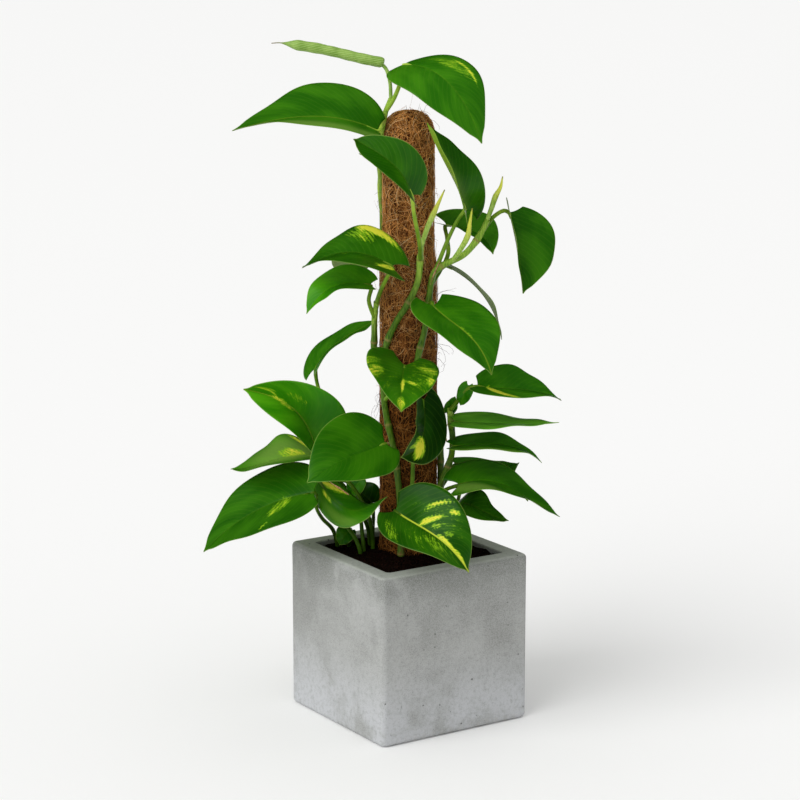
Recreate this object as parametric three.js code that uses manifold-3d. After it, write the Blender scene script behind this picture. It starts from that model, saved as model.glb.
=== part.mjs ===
// A climbing pothos in a square concrete planter, tied up a coir pole.
// Millimetres, +Z up. The origin is the middle of the planter's foot.
// The plant stands turned in its planter: its own X runs to the right of its best side, and
// its own -Y is the way that best side looks.

import * as THREE from "three";
import { mergeVertices } from "three/addons/utils/BufferGeometryUtils.js";
import Module from "manifold-3d";

const wasm = await Module();
wasm.setup();

// ---------- driving dimensions ----------

const GAP = 0.3; // air between pieces that touch
const PLANT_TURN = -33; // degrees from the planter's sides to the plant's own frame

const PLANTER = {
  side: 183, height: 180, wall: 19, floor: 18, corner: 6.5, edge: 5, wellCorner: 4,
};
const SOIL = { top: 176.5, mound: 62, moundRise: 5 };
const POLE = { foot: 29.5, head: 26.5, stepLow: 478, stepHigh: 500, top: 642, core: 12.5 };
const DOME = { height: 22, wall: 30 }; // the rounded top and the coir over the stake's end
const VINE = { radius: 3.4, rootRadius: 1.3, rootLength: 16 };
const STALK = { foot: 2.5, neck: 1.9, end: 0.9, sides: 5, holeSides: 7, steps: 7 };
const SHOOT = { foot: 2.2, belly: 3.2, tip: 0.6 };
const ROLL = { mouth: 4, girth: 5.7, tip: 0.5, taper: 0.76, thin: 0.93 };
const BLADE = { thick: 0.8, along: 7, across: 6, end: 0.985, crowd: 1.35 };
const OUTLINE = { shoulder: 0.42, point: 1.12, start: 0.012, sweep: 0.1, lobe: 0.13 };
const WAVE = { height: 1.2, count: 2.2 };

const COLOURS = {
  concrete: 0x9fa1a1,
  soil: 0x2a1a14,
  coir: 0x8a5a38,
  wood: 0xb08a5a,
  stem: 0x6d9a35,
  leaf: 0x2f7a18,
  youngLeaf: 0xa8c840,
};

// ---------- helpers ----------

const vec = (p) => new THREE.Vector3(...p);
const rad = THREE.MathUtils.degToRad;

// A closed geometry as a solid that can be joined and cut.
function solid(geometry) {
  const bare = geometry.clone();
  bare.deleteAttribute("normal");
  bare.deleteAttribute("uv");
  const merged = mergeVertices(bare, 1e-4);
  return new wasm.Manifold(
    new wasm.Mesh({
      numProp: 3,
      vertProperties: merged.attributes.position.array,
      triVerts: new Uint32Array(merged.index.array),
    }),
  );
}

function geometryOf(body) {
  const mesh = body.getMesh();
  const geometry = new THREE.BufferGeometry();
  geometry.setAttribute("position", new THREE.BufferAttribute(mesh.vertProperties, 3));
  geometry.setIndex(new THREE.BufferAttribute(mesh.triVerts, 1));
  geometry.computeVertexNormals();
  return geometry;
}

function finish(color, roughness) {
  return new THREE.MeshStandardMaterial({ color, roughness, metalness: 0 });
}

function named(name, body, material) {
  const mesh = new THREE.Mesh(geometryOf(body), material);
  mesh.name = name;
  return mesh;
}

// A closed round stem along a curve. radiusAt(t) is its radius at the share t of its length.
function sweep(curve, steps, sides, radiusAt) {
  const frames = curve.computeFrenetFrames(steps, false);
  const places = [];
  for (let i = 0; i <= steps; i++) {
    const middle = curve.getPointAt(i / steps);
    for (let j = 0; j < sides; j++) {
      const turn = (2 * Math.PI * j) / sides;
      const spoke = frames.normals[i].clone().multiplyScalar(Math.cos(turn));
      spoke.addScaledVector(frames.binormals[i], Math.sin(turn));
      places.push(...middle.clone().addScaledVector(spoke, radiusAt(i / steps)));
    }
  }
  const faces = [];
  for (let i = 0; i < steps; i++) {
    for (let j = 0; j < sides; j++) {
      const a = i * sides + j;
      const b = i * sides + ((j + 1) % sides);
      faces.push(a, b, a + sides, b, b + sides, a + sides);
    }
  }
  const last = steps * sides;
  for (let j = 1; j < sides - 1; j++) {
    faces.push(0, j + 1, j);
    faces.push(last, last + j, last + j + 1);
  }
  const geometry = new THREE.BufferGeometry();
  geometry.setAttribute("position", new THREE.Float32BufferAttribute(places, 3));
  geometry.setIndex(faces);
  return solid(geometry);
}

// A smooth curve through points, made longer by `extra` at both ends.
function route(points, extra = 0) {
  const ends = points.map((p) => p.clone());
  const n = ends.length;
  ends[0].addScaledVector(points[0].clone().sub(points[1]).normalize(), extra);
  ends[n - 1].addScaledVector(points[n - 1].clone().sub(points[n - 2]).normalize(), extra);
  return new THREE.CatmullRomCurve3(ends, false, "centripetal");
}

function roundedSquare(side, corner) {
  const half = side / 2;
  const shape = new THREE.Shape();
  shape.moveTo(-half + corner, -half);
  shape.lineTo(half - corner, -half);
  shape.absarc(half - corner, -half + corner, corner, -Math.PI / 2, 0, false);
  shape.absarc(half - corner, half - corner, corner, 0, Math.PI / 2, false);
  shape.absarc(-half + corner, half - corner, corner, Math.PI / 2, Math.PI, false);
  shape.absarc(-half + corner, -half + corner, corner, Math.PI, 1.5 * Math.PI, false);
  return shape;
}

// ---------- planter: a cast concrete cube with a square well ----------

function makePlanter() {
  const { side, height, floor, wall, corner, edge, wellCorner } = PLANTER;
  const body = new THREE.ExtrudeGeometry(roundedSquare(side - 2 * edge, corner - edge), {
    depth: height - 2 * edge,
    curveSegments: 3,
    bevelThickness: edge,
    bevelSize: edge,
    bevelSegments: 3,
  });
  body.translate(0, 0, edge);
  const well = new THREE.ExtrudeGeometry(roundedSquare(side - 2 * wall, wellCorner), {
    depth: height,
    curveSegments: 5,
    bevelEnabled: false,
  });
  well.translate(0, 0, floor);
  return solid(body).subtract(solid(well));
}

// ---------- pole: a stake in a sleeve of coir with a domed top ----------

// The sleeve's radius at a height: it is a little stouter below the step.
function poleRadius(height) {
  const share = THREE.MathUtils.smoothstep(height, POLE.stepLow, POLE.stepHigh);
  return THREE.MathUtils.lerp(POLE.foot, POLE.head, share);
}

function poleOutline(extra) {
  const points = [];
  const heights = [60, 120, 180, 240, 300, 360, 420, POLE.stepLow, 489, POLE.stepHigh, 560];
  for (const height of heights) {
    points.push(new THREE.Vector2(poleRadius(height) + extra, height));
  }
  for (let turn = 0; turn < 90; turn += 18) {
    const across = POLE.head * Math.cos(rad(turn)) ** 0.8 + extra;
    const rise = (DOME.height + extra) * Math.sin(rad(turn));
    points.push(new THREE.Vector2(across, POLE.top - DOME.height + rise));
  }
  points.push(new THREE.Vector2(0, POLE.top + extra));
  return points;
}

function makeSleeve() {
  const foot = PLANTER.floor + GAP;
  const bore = POLE.core + GAP;
  const roof = POLE.top - DOME.wall + GAP;
  const profile = [
    new THREE.Vector2(bore, foot),
    new THREE.Vector2(POLE.foot, foot),
    ...poleOutline(0),
    new THREE.Vector2(0, roof),
    new THREE.Vector2(bore, roof),
    new THREE.Vector2(bore, foot),
  ];
  return solid(lathe(profile, 20));
}

function lathe(profile, sides) {
  const geometry = new THREE.LatheGeometry(profile, sides);
  geometry.rotateX(Math.PI / 2);
  return geometry;
}

function makeCore() {
  const low = PLANTER.floor + GAP;
  const high = POLE.top - DOME.wall;
  const stake = new THREE.CylinderGeometry(POLE.core, POLE.core, high - low, 14);
  stake.rotateX(Math.PI / 2);
  stake.translate(0, 0, (low + high) / 2);
  return solid(stake);
}

// The sleeve without its bore and a little larger all round, for the hole in the soil.
function poleHole() {
  const profile = [
    new THREE.Vector2(0, 0),
    new THREE.Vector2(POLE.foot + GAP, 0),
    ...poleOutline(GAP),
  ];
  return solid(lathe(profile, 20));
}

// ---------- vines: the climbing stems, each with short aerial roots ----------

// A place beside the pole: bearing in degrees (0 in front, 90 on the right), height, and how
// far its middle is from the pole's axis, which is as close as a vine lies if left out.
function beside(bearing, height, reach = poleRadius(height) + VINE.radius + 0.7) {
  const turn = rad(bearing);
  return new THREE.Vector3(reach * Math.sin(turn), -reach * Math.cos(turn), height);
}

const VINES = {
  vine_left: {
    path: [
      beside(-148, 130),
      beside(-150, 220),
      beside(-146, 300),
      beside(-134, 345),
      beside(-114, 369, 34.5),
      beside(-92, 386, 36),
      beside(-80, 408, 36),
      beside(-78, 428, 36),
      beside(-66, 446, 36),
    ],
    roots: [{ at: 0.6, bearing: -1 }],
  },
  vine_crossing: {
    path: [
      beside(-15, 130),
      beside(-15, 230),
      beside(-26, 290),
      beside(-42, 325),
      beside(-50, 350),
      beside(-46, 398),
      beside(-24, 426),
      beside(0, 449),
      beside(16, 470),
      beside(20, 497, 35),
      new THREE.Vector3(13, -37, 508),
    ],
    roots: [{ at: 0.44, bearing: -1 }],
  },
  vine_right: {
    path: [
      beside(100, 130),
      beside(96, 220),
      beside(84, 300),
      beside(56, 338),
      beside(36, 360, 34.5),
      beside(16, 380),
      beside(30, 420),
      beside(38, 448),
      beside(40, 468, 36),
      new THREE.Vector3(27, -35, 481),
      new THREE.Vector3(35, -33, 487),
      new THREE.Vector3(56, -28, 497),
      new THREE.Vector3(67, -25, 508),
      new THREE.Vector3(75, -22, 520),
      new THREE.Vector3(81, -20, 532),
    ],
    roots: [{ at: 0.42, bearing: 1 }],
  },
  vine_top: {
    path: [
      beside(170, 130),
      beside(176, 240),
      beside(-172, 360),
      beside(-150, 440),
      beside(-128, 482, 34),
      beside(-119, 520),
      beside(-116, 560),
      beside(-94, 600),
      beside(-66, 622),
      new THREE.Vector3(-25, -12, 637),
      new THREE.Vector3(-18, -3, 654),
    ],
    roots: [{ at: 0.3, bearing: 1 }],
  },
  vine_low_right: {
    path: [
      beside(62, 130),
      beside(60, 200),
      new THREE.Vector3(34, -19, 253),
      new THREE.Vector3(40, -19, 269),
      new THREE.Vector3(45, -18, 284),
      new THREE.Vector3(46, -16, 303),
      new THREE.Vector3(44, -15, 322),
      new THREE.Vector3(43, -14, 334),
    ],
    roots: [{ at: 0.5, bearing: 1 }],
  },
};

function makeVine(vine, extra = 0) {
  const curve = route(vine.path, extra);
  const steps = Math.round(curve.getLength() / 17);
  const swollen = (t) => 1 + 0.16 * Math.max(0, Math.cos(t * steps * 0.9)) ** 6;
  let body = sweep(curve, steps, 7, (t) => VINE.radius * swollen(t) * (t > 0.97 ? 0.8 : 1) + extra);
  for (const root of vine.roots) {
    const start = curve.getPointAt(root.at);
    const along = curve.getTangentAt(root.at);
    const away = new THREE.Vector3(start.x, start.y, 0).normalize();
    const aside = along.clone().cross(away).multiplyScalar(root.bearing).normalize();
    const middle = start.clone().addScaledVector(aside, VINE.rootLength * 0.55);
    middle.addScaledVector(away, 1.4);
    const end = start.clone().addScaledVector(aside, VINE.rootLength);
    end.addScaledVector(away, 3.4).add(new THREE.Vector3(0, 0, -4));
    const stub = route([start, middle, end], extra);
    body = body.add(sweep(stub, 4, 5, (t) => VINE.rootRadius * (1 - 0.6 * t) + extra));
  }
  return body;
}

// ---------- leaves: a folded, arched heart-shaped blade on its stalk ----------

// Each leaf: base is where the stalk meets the blade, tip is the drip tip, face is the way the
// upper side looks, and width is across the flat blade. bow lifts the rib above the line from
// base to tip, skew moves that arch towards the base (+) or the tip (-), and bend carries the
// rib sideways. fold is the angle in degrees that each half rises by, lean makes one half
// wider, twist turns the blade along its rib, curl lifts its margins, and lobe scales the two
// lobes beside the stalk. stalk lists the points from the foot to the base. grows names the
// vine that it is on, and a leaf with none stands in the soil. along, across and steps count the
// faces of the blade and of the stalk.
const LEAF = { skew: 0, bend: 0, fold: 12, lean: 0, twist: 0, curl: 0, lobe: 1 };
const SHEATH = { bow: 2, along: 5, across: 4 }; // a small wing on the stalk

const LEAVES = [
  {
    name: "leaf_top_right", grows: "vine_top", base: [-5, 10, 688], tip: [74, -53, 612],
    face: [0.2, -0.65, 0.75], width: 84, bow: 31, fold: 2, curl: -4, lobe: 0.2,
    stalk: [[-24, -10, 641], [-15, -11, 655], [-8, -2, 672]],
  },
  {
    name: "leaf_top_left", grows: "vine_top", base: [-31, -44, 626], tip: [-179, -51, 626],
    face: [-0.05, -0.33, 0.95], width: 95, bow: 18, skew: 0.2, bend: -5, fold: 8, lean: 0.1,
    twist: 23, curl: 5, lobe: 0.3,
    stalk: [[-25, -12, 637], [-28, -28, 633]],
  },
  {
    name: "leaf_pole_top", grows: "vine_crossing", base: [3, -90, 566], tip: [-56, -84, 622],
    face: [0.42, -0.83, 0.37], width: 52, bow: 15, skew: 0.4, bend: 2, fold: 27, lean: -0.08,
    twist: -34, curl: 4, lobe: 0.4,
    stalk: [[12, -38, 494], [11, -54, 512], [5, -77, 546]],
  },
  {
    name: "leaf_upright_folded", grows: "vine_right", base: [58, -29, 544],
    tip: [18, -41, 635],
    face: [0.62, -0.41, 0.67], width: 60, bow: 5, skew: 0.75, bend: -9, fold: 30, twist: 33,
    lobe: 1.35,
    stalk: [[27, -35, 481], [40, -30, 513], [50, -28, 533]],
  },
  {
    name: "leaf_small_behind", grows: "vine_right", base: [39, 25, 521], tip: [87, -22, 496],
    face: [0.08, -0.44, 0.9], width: 47, bow: 5.5, skew: -0.7, bend: -9, fold: 22, lean: -0.04,
    twist: 12, curl: 2.3, lobe: 1.3,
    stalk: [[37, -33, 488], [41, -14, 498], [40, 8, 510]],
  },
  {
    name: "leaf_far_right", grows: "vine_right", base: [104, -5, 538], tip: [116, -59, 461],
    face: [0.75, -0.6, 0.28], width: 76, bow: 4, bend: 2, fold: 30, lean: -0.1, curl: 3,
    lobe: 0.6,
    stalk: [[76, -21, 521], [87, -13, 534], [98, -8, 540]],
  },
  {
    name: "leaf_edge_on", grows: "vine_right", base: [38, -4, 483], tip: [97, -14, 405],
    face: [0.8, 0.12, 0.57], width: 56, bow: 13, fold: 5, lobe: 0.5, across: 4,
    stalk: [[23, -28, 466], [31, -16, 476]],
  },
  {
    name: "leaf_right_middle", grows: "vine_right", base: [25, -53, 449], tip: [83, -107, 386],
    face: [0.3, -0.5, 0.8], width: 83, bow: 15, skew: -0.7, bend: 4, fold: 10, lean: -0.05,
    lobe: 0.9,
    stalk: [[20, -26, 444], [24, -42, 450]],
  },
  {
    name: "leaf_left_upper", grows: "vine_left", base: [-17, -65, 491], tip: [-110, -26, 483],
    face: [-0.1, -0.37, 0.92], width: 72, bow: 20, skew: 0.35, bend: -5, fold: 15, lean: 0.05,
    twist: 6, lobe: 0.8,
    stalk: [[-33, -15, 445], [-29, -33, 460], [-22, -52, 478]],
  },
  {
    name: "leaf_left_under", grows: "vine_left", base: [-39, -28, 466], tip: [-105, -39, 437],
    face: [-0.08, -0.36, 0.93], width: 48, bow: 12.5, bend: 7, fold: 14, twist: -2, curl: 2,
    lobe: 0.5,
    stalk: [[-35, -8, 428], [-41, -18, 448]],
  },
  {
    name: "leaf_left_curled", grows: "vine_left", base: [-98, 18, 369], tip: [-33, 58, 415],
    face: [-0.51, -0.15, 0.84], width: 56, bow: 5, skew: 0.8, bend: -7, fold: 16, twist: 24,
    curl: -3, lobe: 0.85,
    stalk: [[-20, 30, 300], [-56, 22, 306], [-90, 16, 338]],
  },
  {
    name: "leaf_heart", grows: "vine_crossing", base: [-4, -59, 388], tip: [-8, -158, 360],
    face: [0.2, -0.36, 0.9], width: 80, bow: 3, skew: -0.5, bend: 2, fold: 20, lean: 0.07,
    lobe: 1.2,
    stalk: [[-24, -25, 345], [-16, -38, 358], [-8, -50, 374]],
  },
  {
    name: "leaf_left_middle", base: [-98, -23, 296], tip: [-171, -52, 362],
    face: [0.15, -0.9, 0.4], width: 78, bow: 19, skew: -0.3, bend: 12, fold: 40, twist: -29,
    curl: 6,
    stalk: [[-37, -1, 140], [-40, -4, 208], [-58, -12, 248], [-80, -24, 274]],
  },
  {
    name: "leaf_dark_front", grows: "vine_crossing", base: [-24, -70, 309],
    tip: [-103, -133, 282],
    face: [-0.04, -0.82, 0.58], width: 80, bow: 9, skew: -0.7, fold: 8, lean: 0.13, twist: 16,
    lobe: 0.6,
    stalk: [[-13, -31, 279], [-16, -44, 284], [-21, -58, 297]],
  },
  {
    name: "leaf_cupped_front", grows: "vine_crossing", base: [15, -42, 348],
    tip: [-9, -96, 300],
    face: [0.86, -0.3, 0.4], width: 55, bow: 2, skew: -0.4, bend: -17.5, fold: 17, twist: -6,
    curl: 1, lobe: 0.85, steps: 12,
    stalk: [[-8, -34, 216], [1, -40, 236], [4, -41, 262], [5, -41, 290], [12, -36, 328], [15, -36, 345]],
  },
  {
    name: "leaf_front_variegated", grows: "vine_crossing", base: [-14, -86, 242],
    tip: [61, -132, 188],
    face: [0.12, -0.78, 0.6], width: 80, bow: 17, skew: -0.8, fold: 15, lean: -0.14, twist: -22,
    lobe: 0.8,
    stalk: [[-9, -34, 200], [-11, -50, 208], [-13, -70, 226]],
  },
  {
    name: "leaf_low_left", base: [-98, -41, 250], tip: [-216, -27, 181],
    face: [-0.12, -0.43, 0.9], width: 94, bow: 9, bend: 8, fold: 8, twist: 8, curl: 2, lobe: 0.4,
    stalk: [[-73, 25, 140], [-76, 25, 177], [-80, 21, 193], [-91, 2, 211], [-97, -20, 230]],
  },
  {
    name: "leaf_left_pale", base: [-91, 12, 274], tip: [-189, 14, 262],
    face: [0, -0.2, 0.98], width: 72, bow: 12, skew: 0.8, bend: -16, fold: 13, lean: 0.08,
    stalk: [[-41, 9, 140], [-42, 8, 195], [-49, 4, 215], [-62, 5, 238], [-78, 9, 256]],
  },
  {
    name: "leaf_low_curled", base: [-95, -13, 257], tip: [-21, -70, 253],
    face: [0.07, -0.7, 0.71], width: 38, bow: -24.5, skew: 0.6, bend: 9.5, fold: 1, twist: -30,
    curl: -9, lobe: 0.5,
    stalk: [[-49, -17, 140], [-52, -13, 184], [-66, -6, 206], [-84, -6, 228], [-95, -9, 246]],
  },
  {
    name: "leaf_low_pale", base: [-50, 2, 253], tip: [-63, 1, 233],
    face: [-0.2, -0.8, 0.5], width: 20, bow: 2, fold: 10, along: 5, across: 4,
    stalk: [[-43, -9, 140], [-48, -7, 190], [-51, -2, 224], [-52, 2, 243]],
  },
  {
    name: "leaf_low_small", base: [-62, 8, 197], tip: [-73, 4, 181],
    face: [-0.2, -0.8, 0.5], width: 22, bow: 3, fold: 10, along: 5, across: 4,
    stalk: [[-63, 26, 140], [-63, 24, 182], [-62, 17, 194]],
  },
  {
    name: "leaf_low_dark", base: [-38, 20, 223], tip: [-60, 27, 241],
    face: [0.1, -0.85, 0.45], width: 34, bow: 3, fold: 8, along: 6, across: 4,
    stalk: [[-36, 22, 140], [-38, 24, 180], [-37, 22, 212]],
  },
  {
    name: "leaf_right_upper", grows: "vine_low_right", base: [71, -31, 361],
    tip: [160, -13, 341],
    face: [0.25, -0.25, 0.93], width: 68, bow: 10, skew: -0.4, bend: 10, fold: 13, lean: -0.08,
    twist: -17, lobe: 0.4,
    sheath: { base: [62, -28, 361], tip: [54, -22, 338], face: [-0.2, -0.9, 0.3], width: 17 },
    stalk: [[44, -15, 332], [52, -22, 344], [60, -27, 356]],
  },
  {
    name: "leaf_right_thin", grows: "vine_low_right", base: [48, -31, 323], tip: [156, -52, 327],
    face: [0, 0.03, 1], width: 75, bow: -3, skew: -0.6, bend: -4, fold: 13, twist: -12,
    curl: -6, lobe: 0.5,
    stalk: [[44, -16, 312], [46, -23, 317]],
  },
  {
    name: "leaf_right_third", grows: "vine_low_right", base: [47, -35, 298], tip: [140, -26, 277],
    face: [0.25, -0.05, 0.96], width: 66, bow: 12, skew: -0.4, bend: 2, fold: 6, lobe: 0.6,
    stalk: [[44, -19, 281], [46, -26, 288]],
  },
  {
    name: "leaf_right_low", grows: "vine_low_right", base: [52, -48, 260], tip: [158, -52, 226],
    face: [0.38, -0.08, 0.92], width: 80, bow: 12, skew: 0.8, bend: -4, fold: 6, lean: -0.05,
    twist: -17, curl: 2, lobe: 0.7,
    stalk: [[33, -19, 243], [40, -32, 251]],
  },
  {
    name: "leaf_right_behind", grows: "vine_low_right", base: [50, 8, 269], tip: [117, -6, 274],
    face: [-0.15, -0.55, 0.82], width: 44, bow: -18, skew: -0.35, bend: -3, fold: 4, lean: 0.17,
    twist: 41, lobe: 0.8, across: 4,
    stalk: [[34, -19, 250], [42, -4, 258]],
  },
  {
    name: "leaf_right_dark", base: [48, -24, 231], tip: [105, -47, 221],
    face: [0.27, -0.6, 0.75], width: 41, bow: 19.5, skew: 0.5, bend: 12, fold: 14, twist: -8,
    across: 4,
    stalk: [[48, -22, 140], [48, -21, 190], [48, -21, 220]],
  },
  {
    name: "leaf_right_small", grows: "vine_low_right", base: [42, -7, 328],
    tip: [49, -7, 345],
    face: [0.2, -0.9, 0.3], width: 14, bow: 1, fold: 10, along: 5, across: 4,
    stalk: [[44, -14, 320], [44, -10, 323]],
  },
  {
    name: "leaf_back_top", grows: "vine_top", base: [-26, 54, 588], tip: [-10, 128, 556],
    face: [0, 0.35, 0.94], width: 66, bow: 8, bend: 3, along: 7, across: 4,
    stalk: [[-28, 15, 540], [-30, 28, 562], [-28, 42, 580]],
  },
  {
    name: "leaf_back_upper", grows: "vine_top", base: [-36, 60, 482], tip: [-56, 124, 446],
    face: [-0.3, 0.35, 0.9], width: 68, bow: 9, bend: -3, along: 7, across: 4,
    stalk: [[-20, 28, 446], [-25, 40, 464], [-32, 53, 478]],
  },
  {
    name: "leaf_back_middle", grows: "vine_top", base: [22, 64, 412], tip: [68, 128, 362],
    face: [0.3, 0.4, 0.87], width: 70, bow: 9, bend: 3, along: 7, across: 4,
    stalk: [[-6, 33, 372], [2, 44, 392], [14, 58, 406]],
  },
  {
    name: "leaf_back_left", grows: "vine_top", base: [-56, 56, 286], tip: [-118, 100, 254],
    face: [-0.35, 0.3, 0.9], width: 74, bow: 10, bend: -4, along: 7, across: 4,
    stalk: [[0, 34, 250], [-12, 44, 272], [-38, 52, 288]],
  },
  {
    name: "leaf_back_low_left", base: [-66, 66, 236], tip: [-160, 104, 196],
    face: [-0.3, 0.2, 0.93], width: 76, bow: 10, bend: 4, along: 7, across: 4,
    stalk: [[-38, 44, 140], [-42, 48, 190], [-58, 60, 226]],
  },
  {
    name: "leaf_back_low", base: [0, 88, 222], tip: [22, 170, 174],
    face: [0.1, 0.45, 0.88], width: 72, bow: 10, bend: -4, along: 7, across: 4,
    stalk: [[4, 56, 140], [4, 60, 190], [1, 78, 214]],
  },
  {
    name: "leaf_back_low_right", base: [60, 46, 244], tip: [132, 92, 206],
    face: [0.3, 0.25, 0.92], width: 70, bow: 10, bend: 3, along: 7, across: 4,
    stalk: [[46, 22, 140], [48, 26, 190], [56, 38, 232]],
  },
];

// The half width of the blade, as a share of its greatest, at the share u of its length.
function halfWidth(u) {
  const rise = (x) => x ** OUTLINE.shoulder * (1 - x) ** OUTLINE.point;
  const widest = OUTLINE.shoulder / (OUTLINE.shoulder + OUTLINE.point);
  return rise((u + OUTLINE.start) / (1 + OUTLINE.start)) / rise(widest);
}

// The rib's point and direction at the share s of its length.
function ribAt(leaf, s) {
  const base = vec(leaf.base);
  const chord = vec(leaf.tip).sub(base);
  const ahead = chord.clone().normalize();
  const side = ahead.clone().cross(vec(leaf.face)).normalize();
  const up = side.clone().cross(ahead);
  const arch = 4 * s * (1 - s);
  const slope = 4 * (1 - 2 * s);
  const skew = 1 + leaf.skew * (1 - 2 * s);
  const point = base.addScaledVector(chord, s);
  point.addScaledVector(up, leaf.bow * arch * skew).addScaledVector(side, leaf.bend * arch);
  const along = chord.addScaledVector(up, leaf.bow * (slope * skew - 2 * leaf.skew * arch));
  along.addScaledVector(side, leaf.bend * slope).normalize();
  return { point, along, ahead, up };
}

// The blade's middle surface: u runs from the stalk to the tip, v from one margin (-1) through
// the rib (0) to the other (1).
function bladeAt(leaf, u, v) {
  const out = Math.abs(v);
  const hand = Math.sign(v);
  const back = OUTLINE.lobe * leaf.lobe * (1 - u) ** 4 * out ** 1.6;
  const s = u + OUTLINE.sweep * Math.sin(Math.PI * u) * out - back;
  const { point, along, ahead, up } = ribAt(leaf, s);
  const face = up.applyAxisAngle(ahead, rad(leaf.twist) * (s - 0.5));
  const side = along.clone().cross(face).normalize();
  const normal = side.clone().cross(along);
  const across = (leaf.width / 2) * (1 + leaf.lean * hand) * halfWidth(u) * v;
  const wave = Math.sin(2 * Math.PI * WAVE.count * u + 1.2 * hand + leaf.width);
  const lift =
    Math.abs(across) * Math.sin(rad(leaf.fold)) +
    leaf.curl * out ** 2 * halfWidth(u) +
    WAVE.height * out ** 2 * wave * Math.sin(Math.PI * u);
  point.addScaledVector(side, across * Math.cos(rad(leaf.fold)));
  return point.addScaledVector(normal, lift);
}

// The blade as a thin closed solid, split into triangles alike on both faces.
function makeBlade(leaf) {
  const rows = leaf.along ?? BLADE.along;
  const columns = leaf.across ?? BLADE.across;
  const width = columns + 1;
  const grid = [];
  for (let i = 0; i <= rows; i++) {
    const u = BLADE.end * (i / rows) ** BLADE.crowd;
    for (let j = 0; j <= columns; j++) grid.push(bladeAt(leaf, u, (2 * j) / columns - 1));
  }
  const at = (i, j) => grid[i * width + j];
  const places = [[], []];
  for (let i = 0; i <= rows; i++) {
    for (let j = 0; j <= columns; j++) {
      const down = at(Math.min(i + 1, rows), j).clone().sub(at(Math.max(i - 1, 0), j));
      const over = at(i, Math.min(j + 1, columns)).clone().sub(at(i, Math.max(j - 1, 0)));
      const normal = over.cross(down).normalize().multiplyScalar(BLADE.thick / 2);
      places[0].push(...at(i, j).clone().add(normal));
      places[1].push(...at(i, j).clone().sub(normal));
    }
  }
  const under = grid.length;
  const faces = [];
  for (let i = 0; i < rows; i++) {
    for (let j = 0; j < columns; j++) {
      const a = i * width + j;
      const [b, c, d] = [a + 1, a + width, a + width + 1];
      faces.push(a, b, d, a, d, c);
      faces.push(under + a, under + d, under + b, under + a, under + c, under + d);
    }
  }
  const rim = [];
  for (let j = 0; j < columns; j++) rim.push(j);
  for (let i = 0; i < rows; i++) rim.push(i * width + columns);
  for (let j = columns; j > 0; j--) rim.push(rows * width + j);
  for (let i = rows; i > 0; i--) rim.push(i * width);
  rim.forEach((a, k) => {
    const b = rim[(k + 1) % rim.length];
    faces.push(a, under + a, b, b, under + a, under + b);
  });
  const geometry = new THREE.BufferGeometry();
  geometry.setAttribute("position", new THREE.Float32BufferAttribute(places.flat(), 3));
  geometry.setIndex(faces);
  return solid(geometry);
}

// The stalk runs from its foot to the blade and on under the rib, where it thins out.
function makeStalk(leaf, extra = 0) {
  const points = leaf.stalk.map(vec);
  for (const s of [0, 0.08]) {
    const { point, up } = ribAt(leaf, s);
    points.push(point.addScaledVector(up, s === 0 ? -1 : -0.7));
  }
  const curve = route(points, extra);
  const reach = (list) => list.slice(1).reduce((sum, p, i) => sum + p.distanceTo(list[i]), 0);
  const neck = reach(points.slice(0, -1)) / reach(points);
  const radiusAt = (t) =>
    t < neck
      ? THREE.MathUtils.lerp(STALK.foot, STALK.neck, t / neck)
      : THREE.MathUtils.lerp(STALK.neck, STALK.end, (t - neck) / (1 - neck));
  if (!extra) return sweep(curve, leaf.steps ?? STALK.steps, STALK.sides, radiusAt);
  const flats = Math.cos(Math.PI / STALK.holeSides);
  return sweep(curve, STALK.steps, STALK.holeSides, (t) => (radiusAt(t) + extra) / flats);
}

// A cut can leave a scrap behind the stem, which is dropped.
function largest(body) {
  return body.decompose().reduce((a, b) => (a.volume() > b.volume() ? a : b));
}

function makeLeaf(leaf) {
  let body = makeBlade(leaf).add(makeStalk(leaf));
  if (leaf.sheath) body = body.add(makeBlade({ ...LEAF, ...SHEATH, ...leaf.sheath }));
  return leaf.grows ? largest(body.subtract(makeVine(VINES[leaf.grows], GAP))) : body;
}

// ---------- the topmost leaf: a long roll on its stalk ----------

const ROLLED = {
  grows: "vine_top",
  path: [
    [-25, 6, 690], [-50, 8, 695], [-80, 10, 702], [-110, 11, 707], [-124, 12, 709],
    [-132, 12, 710], [-140, 13, 709.5],
  ],
  stalk: [[-18, -3, 654], [-19, 1, 671], [-23, 5, 684], [-30, 6, 691]],
};

function makeRolled() {
  const { mouth, girth, tip, taper, thin } = ROLL;
  const radiusAt = (t) => {
    if (t === 0) return mouth;
    return THREE.MathUtils.lerp(girth, tip, THREE.MathUtils.smoothstep(t, taper, thin));
  };
  const roll = sweep(route(ROLLED.path.map(vec)), 14, 8, radiusAt);
  const stalk = sweep(route(ROLLED.stalk.map(vec)), STALK.steps, STALK.sides, () => STALK.neck);
  return roll.add(stalk).subtract(makeVine(VINES[ROLLED.grows], GAP));
}

// ---------- young shoots: leaves that are still rolled up ----------

const SHOOTS = {
  shoot_centre: {
    grows: "vine_crossing",
    path: [[13, -37, 506], [18, -43, 524], [28, -52, 549], [36, -60, 568]],
  },
  shoot_right: {
    grows: "vine_right",
    path: [[80, -20, 530], [85, -20, 544], [89, -20, 556], [94, -21, 566], [96, -22, 577]],
  },
  shoot_sheath: {
    grows: "vine_right",
    path: [[43, -32, 489], [53, -42, 505], [60, -50, 520], [62, -54, 535], [64, -56, 549]],
  },
};

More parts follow.
